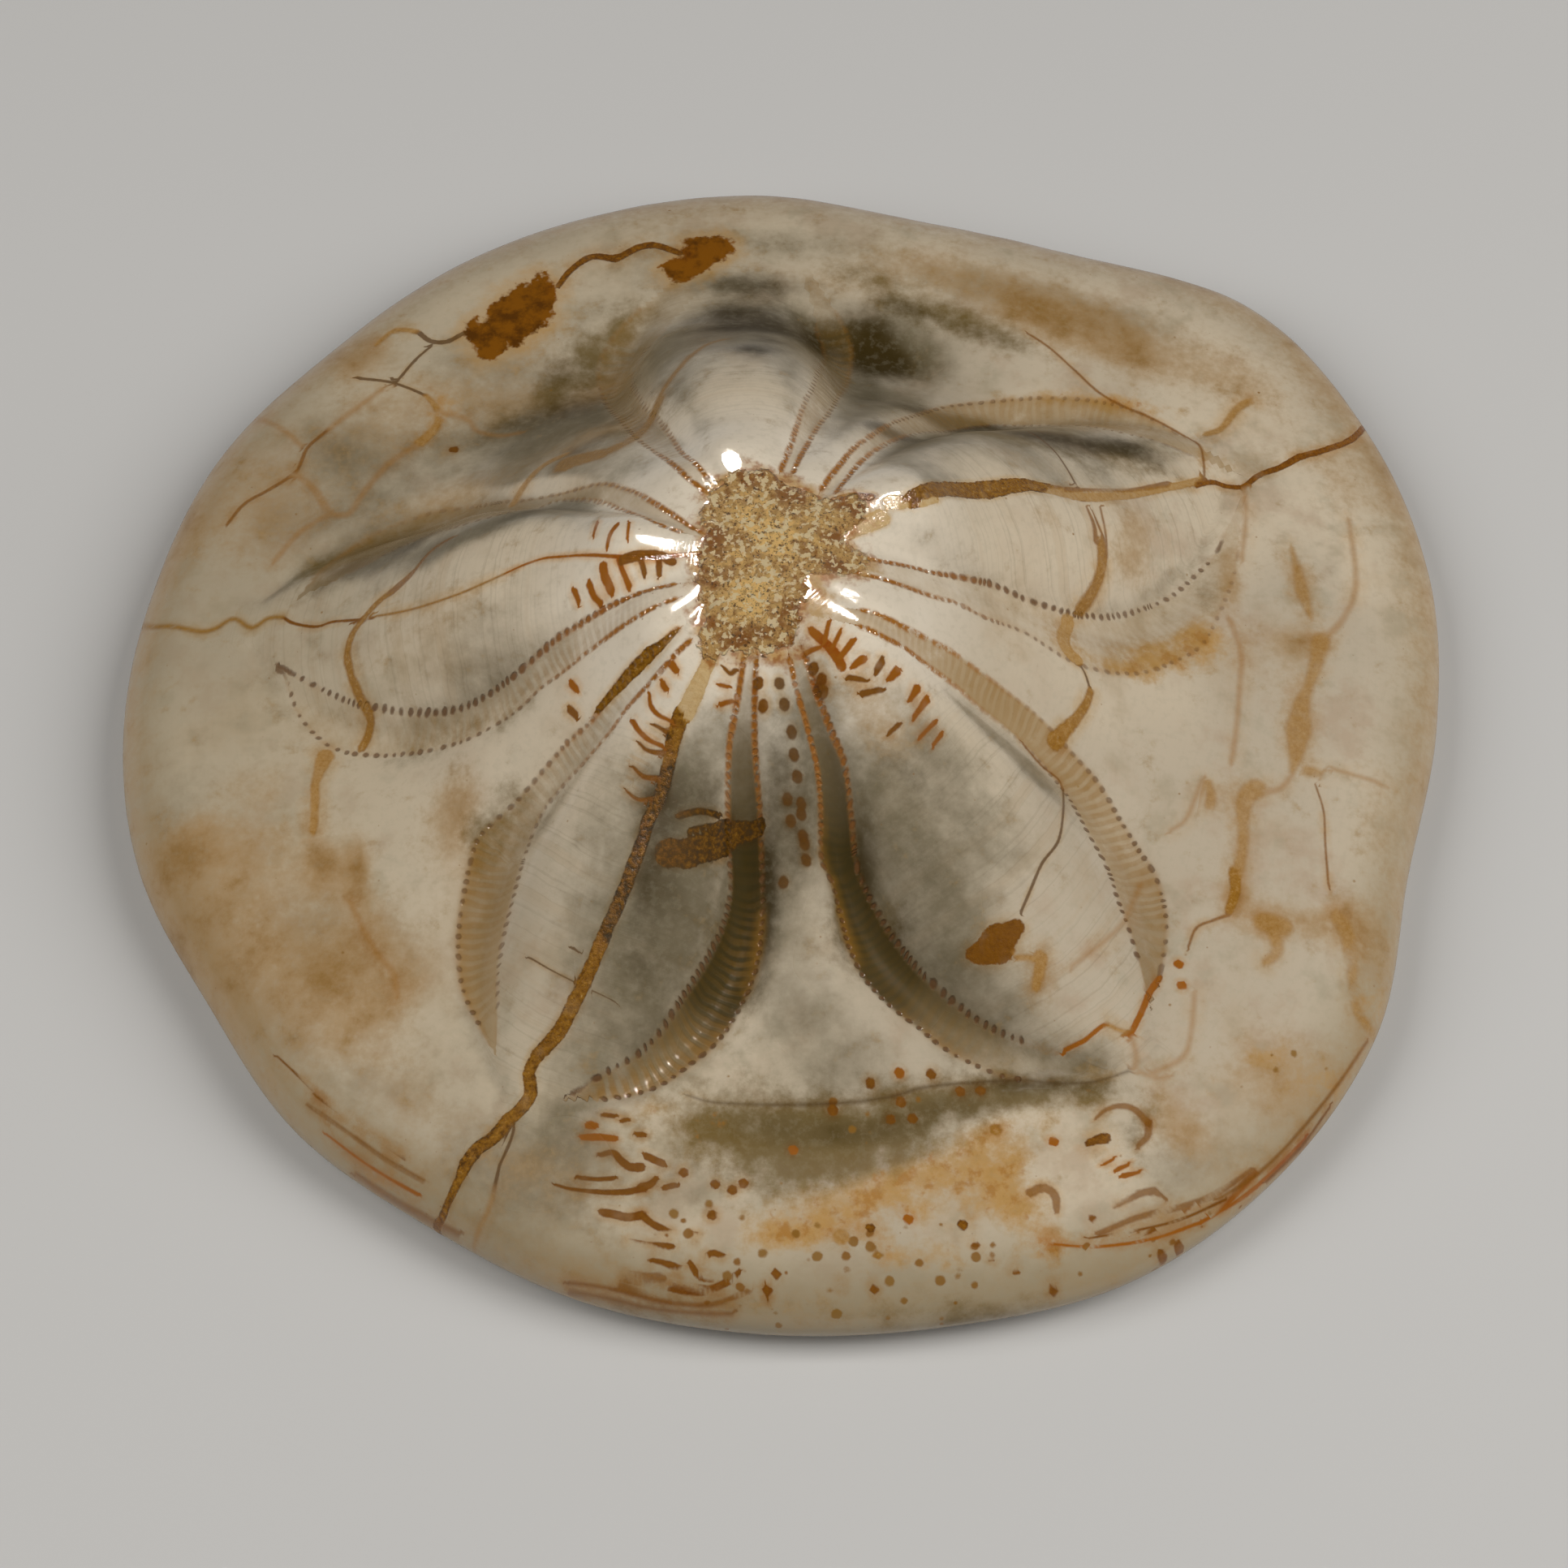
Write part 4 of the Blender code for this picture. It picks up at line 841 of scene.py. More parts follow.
# Washes: pixel, reach to the side and to the front in millimetres, turn in degrees, strength in percent
WASHES = {
    "tan": [
        (740, 485, 6, 3, 30, 60), (1330, 548, 7, 1.8, -5, 65), (1090, 895, 4, 4, -30, 30),
        (1040, 350, 9, 2.6, -10, 35), (1330, 420, 8, 2.4, -20, 45), (640, 500, 6, 3, 20, 35),
        (560, 620, 9, 4, 14, 48), (750, 530, 6, 3.4, 25, 60), (1040, 1430, 8, 2.6, 10, 45),
        (380, 1180, 8, 6, -30, 40), (290, 1210, 5, 5, -40, 40), (560, 1000, 3, 5, 0, 45),
        (640, 1440, 5, 3, -20, 30), (1580, 800, 7, 5, 0, 28), (1280, 1200, 4, 4, 0, 20),
        (1280, 370, 14, 4.6, -14, 45), (1450, 440, 8, 4, -25, 35), (236, 1044, 3.4, 3, 30, 60),
        (410, 1075, 3.4, 4, 0, 35), (300, 1060, 9, 7, 0, 48), (460, 1180, 8, 6, -40, 60),
        (1660, 1140, 3.4, 3, 0, 45), (1530, 570, 5, 2.4, 25, 40), (1620, 560, 4, 2.4, 25, 35),
        (250, 1120, 9, 8, 0, 52), (400, 1240, 8, 7, -40, 48), (520, 1380, 8, 5, -35, 30),
        (480, 520, 10, 6, 25, 42), (330, 620, 9, 9, 0, 36), (640, 430, 6, 5, 25, 34),
        (1150, 330, 12, 3.4, -12, 42), (1300, 400, 9, 4, -20, 42), (860, 270, 9, 3, 10, 25),
        (560, 1040, 3, 6, 10, 40), (700, 1450, 8, 5, -15, 28), (1060, 860, 6, 3, -30, 30),
        (236, 1044, 3.4, 2.6, 30, 75), (395, 1066, 1.9, 2.6, 0, 92), (438, 1070, 1.6, 3.4, 0, 92),
        (452, 1120, 1.4, 4, 30, 45), (492, 1212, 3, 2, 20, 45), (472, 1240, 3, 2, 30, 35),
        (568, 988, 2.6, 2.4, 0, 45), (320, 966, 4, 3, 0, 35), (440, 442, 4.4, 3.6, 20, 75),
        (1522, 1100, 2, 3.4, 0, 75), (1515, 710, 1.6, 6, 0, 70), (1604, 792, 3.4, 2, 0, 55),
        (1600, 1138, 6.5, 2.4, 0, 60), (1668, 1142, 3, 3, 0, 50), (1562, 1136, 2, 2.4, 0, 60),
        (1600, 890, 2.4, 7, -6, 55), (1526, 1000, 2.2, 6, 0, 50), (1655, 600, 4, 5, 0, 45),
        (1598, 715, 2, 4.6, 10, 55), (1460, 455, 10, 3, -25, 30), (1400, 440, 3, 5, 20, 45),
        (1330, 395, 9, 3, -18, 40), (1540, 470, 8, 3.5, -35, 40), (1400, 660, 2.4, 4.8, 0, 60),
        (1385, 690, 1.8, 2.4, 0, 50), (1290, 635, 2, 1.6, 0, 35), (1290, 1210, 1.8, 2.6, 0, 35),
        (1560, 1310, 6, 4, 20, 50), (1440, 1370, 3, 5, 10, 45), (1470, 1400, 3.6, 2.4, -25, 60),
        (1580, 1340, 5, 3, 20, 40), (226, 660, 2.6, 6, -20, 45), (240, 600, 3, 5, -20, 35),
        (560, 560, 2, 2, 0, 30), (320, 640, 8, 8, 0, 25), (380, 900, 3, 3, 0, 20),
        (520, 770, 10, 4, 8, 25), (420, 1260, 9, 4, -40, 28), (300, 1180, 6, 5, -40, 28),
        (1240, 1400, 4, 3, 0, 45), (640, 500, 9, 3, 20, 25), (1250, 560, 6, 2, 0, 30),
        (700, 340, 5, 2, 25, 30), (920, 390, 3, 3, 0, 30), (1010, 540, 2, 4, 0, 20),
        (700, 1590, 6, 2, -10, 35), (1290, 760, 5, 1.6, -20, 30), (560, 480, 5, 2, -15, 30),
        (1690, 1000, 2, 6, 0, 30),
    ],
    "orange": [
        (1240, 1390, 6, 2, 15, 45), (1330, 1350, 5, 2, 10, 45), (900, 1400, 6, 3, 0, 40),
        (1010, 1470, 6, 2.4, 10, 55), (860, 1380, 4, 2, 0, 45), (1430, 800, 6, 2, 12, 60),
        (960, 1518, 4.2, 2.2, 0, 85), (1010, 1508, 4, 1.8, 15, 85), (1065, 1478, 4, 2.2, 25, 85),
        (1115, 1452, 4.2, 2.4, 20, 90), (1165, 1442, 4, 2.6, 10, 80), (1205, 1420, 3.2, 3.4, 0, 80),
        (1235, 1462, 2.6, 3.2, -40, 70), (1262, 1500, 3, 2.2, -20, 60), (1220, 1480, 4, 2, 0, 60),
        (1130, 1490, 3, 1.6, 0, 60), (1090, 1540, 3, 1.8, 0, 60), (1160, 1546, 3, 1.6, 0, 45),
        (1295, 1540, 3, 1.6, 0, 55), (1010, 742, 2.6, 2.8, 0, 85), (992, 722, 2, 2, 0, 70),
        (1385, 498, 6, 1.4, -8, 75), (1300, 490, 7, 1, 0, 55), (1330, 800, 5, 1.4, -15, 55),
        (1430, 815, 5, 1.6, 14, 95), (1475, 785, 2.6, 2, 30, 90), (1400, 828, 3, 1.2, 0, 85),
        (1560, 1300, 3, 1.6, 20, 45), (1610, 1330, 3, 1.4, 25, 40), (1480, 790, 2.4, 2.4, 0, 75),
        (1482, 560, 2, 2.4, 0, 50), (632, 395, 6.4, 5.6, 30, 60), (862, 318, 6, 3.4, 20, 55),
        (540, 512, 1.6, 3.6, -30, 55), (540, 492, 1.4, 1.4, 0, 45), (1240, 1440, 2.6, 3.4, 0, 70),
        (1500, 1350, 2, 2, 0, 25), (470, 1470, 3, 1.4, -30, 35), (600, 1420, 1.2, 3, 0, 30),
        (868, 660, 1.6, 2, 0, 60), (945, 808, 4.6, 0.9, 0, 70), (872, 700, 1.2, 2.6, 0, 50),
        (1072, 700, 3, 1, 0, 60), (906, 590, 3.2, 1, 0, 60), (990, 604, 3, 1.4, -20, 60),
        (720, 1300, 2, 1.4, 0, 20), (1690, 1235, 1.4, 2.4, 0, 40), (1644, 1345, 2.6, 1.2, 35, 40),
        (805, 1366, 2.4, 0.9, 0, 45),
    ],
    # Olive stain; the bells in the valleys and on the flanks that face the front are partly painted shade.
    "olive": [
        (880, 1385, 6, 3.4, 0, 75), (960, 1395, 7, 4, 0, 85), (1040, 1405, 7, 3.6, 8, 80),
        (1110, 1375, 7, 3, 12, 75), (1180, 1358, 6, 2.6, 10, 75), (1260, 1345, 6, 1.8, 0, 80),
        (1340, 1345, 4.4, 1.8, 10, 65), (950, 1450, 5, 3, 0, 50), (1010, 1440, 4, 2.6, 0, 45),
        (730, 440, 5.4, 3, 45, 75), (770, 400, 5, 2.4, 45, 55), (700, 480, 4, 2.4, 20, 45),
        (640, 510, 6, 2.6, 20, 35), (815, 500, 2.4, 4, 20, 30), (780, 530, 4, 1.8, 25, 55),
        (420, 690, 6, 1.8, 22, 80), (480, 664, 5, 1.2, 20, 45), (1050, 420, 6, 2.6, -10, 60),
        (1180, 400, 7, 2, -22, 55), (1240, 415, 5, 1.6, -25, 45), (920, 1120, 1.4, 7, 0, 65),
        (900, 1220, 2, 4, 30, 55), (1045, 1110, 1.4, 6, -10, 75), (1080, 1180, 1.8, 4.4, -35, 60),
        (1250, 540, 10, 2, -3, 70), (1370, 555, 6, 2.2, -8, 70), (1150, 380, 8, 2.6, -22, 45),
        (1060, 345, 5, 2, -20, 45), (1100, 1425, 8, 2, 12, 50), (940, 300, 8, 2, 0, 18),
        (1400, 1390, 2.4, 3, 0, 45), (1200, 1620, 12, 1.6, 5, 45), (800, 1640, 8, 1.2, -8, 35),
        (618, 1010, 2.4, 3.6, -40, 65), (590, 1050, 1.4, 4, 0, 55), (1480, 720, 1.6, 4, 20, 40),
        (560, 912, 6, 1.6, 0, 35), (640, 872, 4, 1.4, 35, 35),
    ],
    # Partly the stone's grey tone, partly painted shade on flanks and in hollows.
    "grey": [
        (640, 460, 7, 5, 25, 40), (560, 440, 5, 4, 20, 35), (720, 390, 6, 4, 25, 35),
        (840, 330, 6, 3.4, 10, 35), (1200, 350, 12, 3.4, -12, 40), (1380, 410, 9, 4, -22, 40),
        (560, 540, 6, 4, 20, 35), (420, 640, 6, 3, 20, 30), (1560, 580, 4, 4, 20, 35),
        (800, 1330, 8, 3, 8, 30), (1180, 1310, 5, 2.4, 0, 30), (1050, 1300, 6, 3, 0, 25),
        (430, 560, 8, 7, 20, 45), (980, 300, 12, 3.4, 0, 45), (830, 310, 7, 4, 10, 30),
        (700, 1440, 8, 6, -20, 58), (620, 1460, 6, 4, -30, 40), (1450, 1440, 7, 4, 25, 42),
        (740, 1010, 4, 8, -20, 35), (600, 770, 8, 4, 10, 35), (1190, 1000, 4.6, 7, 30, 40),
        (1150, 930, 4, 4, 20, 35), (740, 1010, 3, 9, 0, 22), (480, 1150, 4, 4, 0, 25),
        (430, 1200, 9, 6, -40, 30), (350, 1230, 5, 4, -40, 35), (560, 1300, 5, 7, 0, 20),
        (840, 960, 3, 5, -10, 55), (850, 1060, 3.4, 7, -12, 60), (1120, 1000, 5, 6, 20, 22),
        (1150, 1130, 6, 6, 30, 45), (975, 1250, 5, 6, 0, 35), (1300, 380, 12, 4, -14, 35),
        (830, 1010, 3.6, 7, -10, 60), (815, 1140, 4.6, 6, -20, 60), (760, 1270, 5, 3.6, -30, 45),
        (1075, 960, 4.6, 4, -30, 45), (640, 520, 7, 4, 25, 55), (500, 600, 9, 5, 25, 35),
        (380, 1140, 6, 6, -20, 35), (230, 980, 4, 6, 0, 30), (600, 1420, 6, 4, -30, 35),
        (1130, 420, 6, 4, -20, 50), (1290, 1330, 6, 2, 0, 15), (1000, 950, 3.6, 12, 0, 70),
        (960, 1050, 3, 10, 0, 55), (860, 1120, 5, 8, -20, 55), (800, 1250, 5, 4.6, -30, 45),
        (1110, 1060, 5, 9, 25, 38), (1180, 1190, 6, 4, -40, 50), (1240, 1250, 6, 3, -20, 40),
        (1060, 420, 7, 6, 0, 60), (1120, 440, 5, 2.6, -20, 60), (1200, 532, 10, 1.8, 0, 45),
        (1330, 545, 9, 1.8, -6, 15), (1280, 1205, 4, 4, 0, 30), (1430, 548, 5, 1.6, -15, 35),
        (620, 640, 12, 1.8, 14, 80), (480, 680, 8, 1.8, 22, 70), (740, 500, 7, 5, 25, 40),
        (690, 530, 6, 3.4, 20, 55), (850, 400, 8, 3.4, 30, 35), (820, 430, 4, 5, 30, 20),
        (940, 380, 6, 2.4, 0, 45), (600, 850, 9, 3, 12, 40), (420, 560, 4, 4, 0, 40),
        (340, 640, 5, 5, 0, 35), (240, 1130, 5, 4, -30, 35), (440, 1330, 8, 3.6, -40, 30),
        (1130, 650, 8, 3, 0, 25), (1040, 1400, 9, 3, 8, 20), (1330, 1310, 5, 3, 10, 45),
        (700, 1400, 6, 4, -20, 30), (1620, 1420, 5, 3, 30, 30), (1640, 700, 3, 4, 0, 25),
        (1050, 1000, 2.6, 6, 0, 50), (420, 800, 6, 3, 0, 22), (1120, 880, 5, 3, -25, 35),
        (740, 1140, 4, 7, -20, 40), (900, 920, 4.5, 5, 0, 50), (950, 1140, 3, 6, 0, 40),
        (700, 1310, 5, 3, -30, 35), (780, 1030, 2.4, 8, -12, 35), (1060, 1130, 3, 6, -15, 40),
        (1050, 1335, 7, 2, 0, 35), (850, 1465, 6, 4, 0, 35), (760, 1180, 6, 6, -20, 40),
        (1150, 1080, 4, 8, 30, 40), (1220, 1020, 5, 7, 30, 35), (1000, 1260, 7, 6, 0, 30),
        (900, 350, 7, 2.4, 0, 55),
    ],
    # Painted shade, the darkest: in hollows and on steep flanks that face the front.
    "deep_shade": [
        (905, 385, 4, 2, 10, 75), (930, 430, 3.4, 1.6, 0, 70), (1075, 410, 3.6, 3, -30, 70),
        (1100, 535, 4.6, 1.8, 10, 75), (1210, 525, 5, 1.5, -2, 70), (1330, 545, 5, 1.5, -6, 65),
        (730, 545, 4, 1.6, 25, 45), (690, 460, 4, 3, 30, 35), (820, 1000, 2.4, 5, -10, 55),
        (795, 1090, 1.8, 5, -14, 50), (870, 985, 2.6, 3, 0, 45), (945, 1090, 1.6, 5, 0, 60),
        (915, 1180, 2, 4, 15, 50), (1060, 1130, 1.5, 5, -15, 60), (1280, 1328, 5, 1.4, 0, 40),
        (1100, 1395, 7, 1.8, 10, 20), (1200, 1370, 6, 1.6, 10, 20), (1120, 380, 5, 1.6, -25, 45),
        (1210, 410, 5, 1.4, -22, 35), (860, 300, 4, 1.4, 10, 20), (930, 352, 7, 2.4, 0, 60),
        (895, 405, 4.4, 4, 20, 80), (950, 405, 4.6, 4.6, -10, 90), (1010, 425, 3, 4, -30, 80),
        (1080, 445, 4.8, 3.4, -20, 85), (1095, 450, 4.4, 2.2, -10, 30), (950, 420, 3.2, 2.2, 0, 60),
        (815, 430, 2.6, 3.4, 30, 25), (710, 505, 5, 2.8, 25, 50), (770, 515, 3.4, 1.8, 25, 50),
        (640, 520, 5, 2, 25, 40), (1160, 520, 6, 2.4, -4, 75), (1270, 536, 7, 2.4, -4, 75),
        (1390, 552, 6, 2.2, -10, 70), (650, 632, 6, 1.2, 14, 45), (520, 665, 6, 1.6, 18, 55),
        (430, 700, 5, 1.6, 24, 60), (940, 1130, 1.5, 6.6, 0, 75), (905, 1215, 1.8, 4, 30, 55),
        (1050, 1100, 1.6, 6, -10, 80), (1090, 1180, 2, 4, -35, 60), (800, 980, 1.6, 3.6, -10, 40),
        (820, 1110, 3, 5, -15, 40), (790, 1190, 3, 2.6, -20, 35), (1115, 950, 3.4, 1.6, -20, 35),
        (1140, 1060, 2.4, 4, 30, 25), (985, 1010, 2.2, 7, 0, 50), (960, 950, 1.6, 5, 0, 35),
        (940, 1385, 6.4, 2, 0, 30), (1040, 1395, 8, 1.8, 6, 30), (1150, 1362, 7, 1.6, 12, 30),
        (1260, 1335, 6.6, 1.3, 0, 35), (1345, 1340, 3.4, 1.2, 10, 25), (1395, 1395, 1.8, 2.2, 0, 25),
    ],
    "specks": [
        (900, 1540, 7, 4.6, 0, 85), (1000, 1560, 8, 4, 0, 95), (1120, 1560, 9, 3.6, 0, 85),
        (1230, 1560, 8, 3.4, 0, 65), (1360, 1560, 8, 2.6, 12, 60), (1480, 1520, 8, 2, 28, 50),
        (1050, 1350, 6, 2, 0, 60), (1130, 1360, 6, 2.2, 0, 60), (980, 1600, 8, 2, 0, 70),
        (850, 1500, 4, 4, 0, 60), (950, 1400, 7, 2.4, 0, 60), (1110, 1385, 7, 2.4, 10, 55),
        (1590, 1310, 6, 3, 20, 45), (700, 860, 2, 2, 0, 35),
    ],
}


# %% Guides for the stains and washes
OUTLINE_MARGIN = 14.0       # millimetres round an outline that know of it
WASHES_END = (1.5, 2.4)     # they fade out a little below the rim's nose: radians of its turn


def inside_outline(pixels):
    """Signed distance to a closed outline, negative inside, from its places taken anticlockwise."""
    places = on_stone(pixels)
    closed = smooth_line(np.vstack([places, places[:1]]))
    spin = np.sum(closed[:-1, 0] * closed[1:, 1] - closed[1:, 0] * closed[:-1, 1])
    offset, distance, _ = beside_line(closed, OUTLINE_MARGIN)
    return np.where(distance < FAR, -np.sign(spin) * offset, FAR)


def wash(bells):
    """Bells laid over each other like glazes: 1 minus the product of (1 - strength * bell)."""
    clear = np.ones(grid_x.size)
    for (_, _, side, front, turn, percent), place in zip(bells, on_stone([bell[:2] for bell in bells])):
        cos_turn, sin_turn = np.cos(np.radians(turn)), np.sin(np.radians(turn))
        from_x, from_y = grid_x - place[0], grid_y - place[1]
        along = (from_x * cos_turn + from_y * sin_turn) / side
        across = (-from_x * sin_turn + from_y * cos_turn) / front
        clear *= 1 - percent / 100 * np.exp(-(along**2) - across**2)
    return 1 - clear


patch_gap = inside_outline(ROUGH_PATCH)
patch_gap[~upper] = FAR
rust_gap = np.minimum(*(inside_outline(stain) for stain in RUST_STAINS))
rust_gap[~upper] = FAR
above_nose = 1 - ease(turn_down.ravel(), *WASHES_END)
washes = {name: wash(bells) * above_nose for name, bells in WASHES.items()}
print("the rough patch covers", int((patch_gap < 0).sum()), "grid points")
print({name: round(float(field.max()), 2) for name, field in washes.items()})

# %% [markdown]
# ## Growth lines
#
# The shell grew ring by ring, and the rings still show as hair-fine streaks: across each
# petal, bowed towards its tip, and parallel to the rim on the flange. One number for
# every point counts the rings in millimetres.

# %% The ring count
GROWTH_BOW = 0.022          # per millimetre: how strongly the streaks bow on a petal
RIM_COUNT = 75.0            # the count at the rim: about the stone's mean radius in millimetres
STREAKS_END, STREAKS_FADE = 1.25, 0.35      # half widths of the petal
growth = (share * RIM_COUNT).ravel()
on_petal = np.zeros(grid_x.size)
for at, length, left, right, *_ in PETALS.values():
    turn = bearing - np.radians(at)
    along = (radius * np.cos(turn) / length).ravel()
    across = (radius * np.sin(turn)).ravel()
    half = np.where(across > 0, left, right) * smooth_curve(along, WIDTH_AT, WIDTH_SHARE)
    on_width = ease(STREAKS_END - np.abs(across) / half, 0, STREAKS_FADE)
    inside = on_width * (along > 0) * (1 - ease(along, 1.0, 1.1))
    bowed = along * length / MM + GROWTH_BOW * (across / MM) ** 2
    growth = growth + inside * (bowed - growth)
    on_petal = np.maximum(on_petal, inside)
on_petal[~upper] = 0

# %% [markdown]
# ## Hollows
#
# The hollows and the steep flanks that face the front are given painted shade: grey laid
# into their colour, and a duller polish. Both can be measured: a hollow lies lower than the
# mean of the places around it, and a flank's rise says how steep it is and where it
# faces. The flange gets painted shade away from the summit, and the rim turns tan.


# %% How hollow and how steep
HOLLOW_REACH = 5.5          # millimetres to the places around
HOLLOWS_END = 0.86          # share of the radius: the turn of the rim is no hollow
SLOPE_STEP = 0.4 * MM       # a slope is measured this far to either side
# The painted shade in a hollow and on a flank: its strength, and the two values between which it sets in
SHADE_IN_HOLLOW, HOLLOW_DEPTHS = 0.55, (0.15, 1.6)
SHADE_ON_FLANK, FLANK_SLOPES, FLANK_FACING = 0.60, (0.35, 0.95), (0.10, 0.45)
BAND_CLEAR, BAND_CLEAR_REACH = 0.8, 2.5     # how clear of it a pale pore band is, and how far around
# Millimetres from the summit: where the painted shade sets in, where the best polish and the painted light on
# the summit end, and where the painted shade on the flange sets in
SHADE_BEGINS, SUMMIT_ENDS, FLANGE_SHADE_BEGINS = (15.0, 23.0), (17.0, 27.0), (24, 60)
# The rim's tan, the painted shade on the flange and the painted shade on the rear rim: how strong, between
# which shares of the radius, and the bearing where the flange is painted lightest
RIM_TAN, RIM_TAN_TO_FRONT, RIM_TAN_BEGINS = 0.52, 0.20, (0.90, 1.0)
FLANGE_SHADE_SHARE, FLANGE_LIT_BEARING = 0.52, -10
REAR_RIM_SHADE_SHARE, REAR_RIM_SHADE_BEGINS = 0.95, (0.88, 0.99)

from_summit = radius.ravel() / MM
can_be_hollow = upper * (share.ravel() < HOLLOWS_END)
around_turns = np.arange(8) * np.pi / 4
around_mean = np.mean([height_over(x + HOLLOW_REACH * MM * np.cos(turn), y + HOLLOW_REACH * MM * np.sin(turn))
                       for turn in around_turns], axis=0)
hollow = ((around_mean - height) / MM).ravel() * can_be_hollow
rise_x = (height_over(x + SLOPE_STEP, y) - height_over(x - SLOPE_STEP, y)) / (2 * SLOPE_STEP)
rise_y = (height_over(x, y + SLOPE_STEP) - height_over(x, y - SLOPE_STEP)) / (2 * SLOPE_STEP)
steep = np.hypot(rise_x, rise_y).ravel() * can_be_hollow
# Painted shade in the hollows and on steep flanks that face the front.
facing_front = ease(-rise_y.ravel(), *FLANK_FACING)
in_hollow = SHADE_IN_HOLLOW * ease(hollow, *HOLLOW_DEPTHS)
on_flank = SHADE_ON_FLANK * facing_front * ease(steep, *FLANK_SLOPES)
painted_hollow_shade = 1 - (1 - in_hollow) * (1 - on_flank)
pale_band = np.clip(1 - nearest_band / BAND_CLEAR_REACH, 0, 1) * (1 - band_guide[:, 7])
painted_hollow_shade = painted_hollow_shade * (1 - BAND_CLEAR * pale_band) * upper * ease(from_summit, *SHADE_BEGINS)
to_front = np.sin(bearing.ravel())
# Tan towards the rim, stronger at the front.
rim_tan = (RIM_TAN + RIM_TAN_TO_FRONT * to_front) * ease(share.ravel(), *RIM_TAN_BEGINS)
washes["tan"] = 1 - (1 - washes["tan"]) * (1 - rim_tan)
dull = np.maximum(painted_hollow_shade, np.maximum(washes["grey"], washes["deep_shade"]))
# Away from the summit: less polish, and less painted light.
off_summit = ease(from_summit, *SUMMIT_ENDS)
# Painted shade on the flange: darker away from the summit and away from the bearing where it is lightest, and
# darker still at the rear rim.
away_from_lit_bearing = (1 - np.cos(bearing.ravel() - np.radians(FLANGE_LIT_BEARING))) / 2
flange_shade = FLANGE_SHADE_SHARE * ease(from_summit, *FLANGE_SHADE_BEGINS) * away_from_lit_bearing
rear_rim = ease(share.ravel(), *REAR_RIM_SHADE_BEGINS) * (1 - to_front) / 2
flange_shade = 1 - (1 - flange_shade) * (1 - REAR_RIM_SHADE_SHARE * rear_rim)
# The painted shade of hollows and flanks joins the grey wash.
washes["grey"] = 1 - (1 - washes["grey"]) * (1 - painted_hollow_shade)
off_summit[~upper] = 1
print("deepest hollow", round(float(hollow.max()), 2), "mm, steepest flank", round(float(steep.max()), 2))

# %% [markdown]
# ## Fine relief in the mesh
#
# Relief that changes how the light falls from a step away belongs in the mesh: the
# wide veins lie a little low, the fold at the rear is a small step, the rough patch is
# grainy, and the polish is never quite flat. Anything finer than the grid, such as the
# pores, is left to the bump in the material.


# %% Small heights, in millimetres
def waves(scale_mm, count, seed):
    """Gentle unevenness: the mean of sine waves with seeded directions and starts."""
    dice = np.random.default_rng(seed)
    total = np.zeros(grid_x.size)
    for _ in range(count):
        way, start = dice.uniform(0, 2 * np.pi, 2)
        rate = 2 * np.pi / (scale_mm * dice.uniform(0.6, 1.6))
        total += np.sin(rate * (grid_x * np.cos(way) + grid_y * np.sin(way)) + start)
    return total / np.sqrt(count)


for name, scale_mm, seed in (("tan", 17.0, 21), ("grey", 13.0, 22), ("olive", 9.0, 23)):
    own = 0.55 * ease(waves(scale_mm, 12, seed), 0.2, 1.6) * (1 - above_nose)
    washes[name] = np.maximum(washes[name], own)

VEIN_DEPTH = 0.10
FOLD_STEP, FOLD_REACH, FOLD_CREASE, FOLD_CREASE_REACH, FOLD_MARGIN = 0.45, 5.0, 0.30, 0.55, 16.0
PATCH_SUNK, PATCH_GRAIN = 0.22, 0.13
POLISH_WAVE = 0.035

vein_width = ease(seam_place[:, 2], 0.25, 0.7) * (seam_look[:, 4] > 0.9)
sunk_vein = VEIN_DEPTH * vein_width * ease(-seam_gap, -0.25, 0.35)

FOLD_PIXELS = (848, 1350, 880, 1358, 940, 1360, 1011, 1359, 1058, 1356, 1101, 1349,
               1140, 1338, 1190, 1333, 1261, 1329, 1300, 1333, 1340, 1333, 1398, 1318)
fold_line = smooth_line(on_stone(FOLD_PIXELS))
fold_offset, fold_gap, fold_along = beside_line(fold_line, FOLD_MARGIN)
fold_run = fold_along / np.hypot(*np.diff(fold_line, axis=0).T).sum()
fold_strength = ease(fold_run, 0.0, 0.25) * (1 - ease(fold_run, 0.80, 1.0)) * (fold_gap < FAR)
behind = np.where(fold_offset < 0, np.exp(-fold_gap / FOLD_REACH), 0) * ease(fold_gap, 0.0, 0.5)
crease = np.exp(-((fold_gap / FOLD_CREASE_REACH) ** 2))
sunk_fold = fold_strength * (FOLD_STEP * behind + FOLD_CREASE * crease)

patch_inside = ease(-patch_gap, -0.1, 0.7)
grains = PATCH_GRAIN * (waves(0.9, 14, 3) + 0.6 * waves(2.2, 10, 4))
sunk_patch = patch_inside * (PATCH_SUNK - grains)

polish = POLISH_WAVE * waves(9.0, 18, 5) * (1 - patch_inside)
relief = (polish - sunk_vein - sunk_fold - sunk_patch) * upper
print("relief from", round(float(relief.min()), 2), "to", round(float(relief.max()), 2), "mm")

# %% [markdown]
# ## The underside
#
# It can't be seen in the photograph. Urchins of this kind have a flat underside with
# the mouth in the middle, five food grooves running out from it, and the anus as a
# small pit close to the rear rim. The stone rests on the flat ring, so the ring keeps
# its level and everything else only goes up into the stone.

# %% The pit near the rear rim, and the surface as one set of points
REAR_PIT = (0.0, -57.0)     # millimetres, in plan
REAR_PIT_RADIUS, REAR_PIT_DEPTH = 2.3, 1.3
WORN = 0.05                 # millimetres of unevenness where the stone doesn't rest

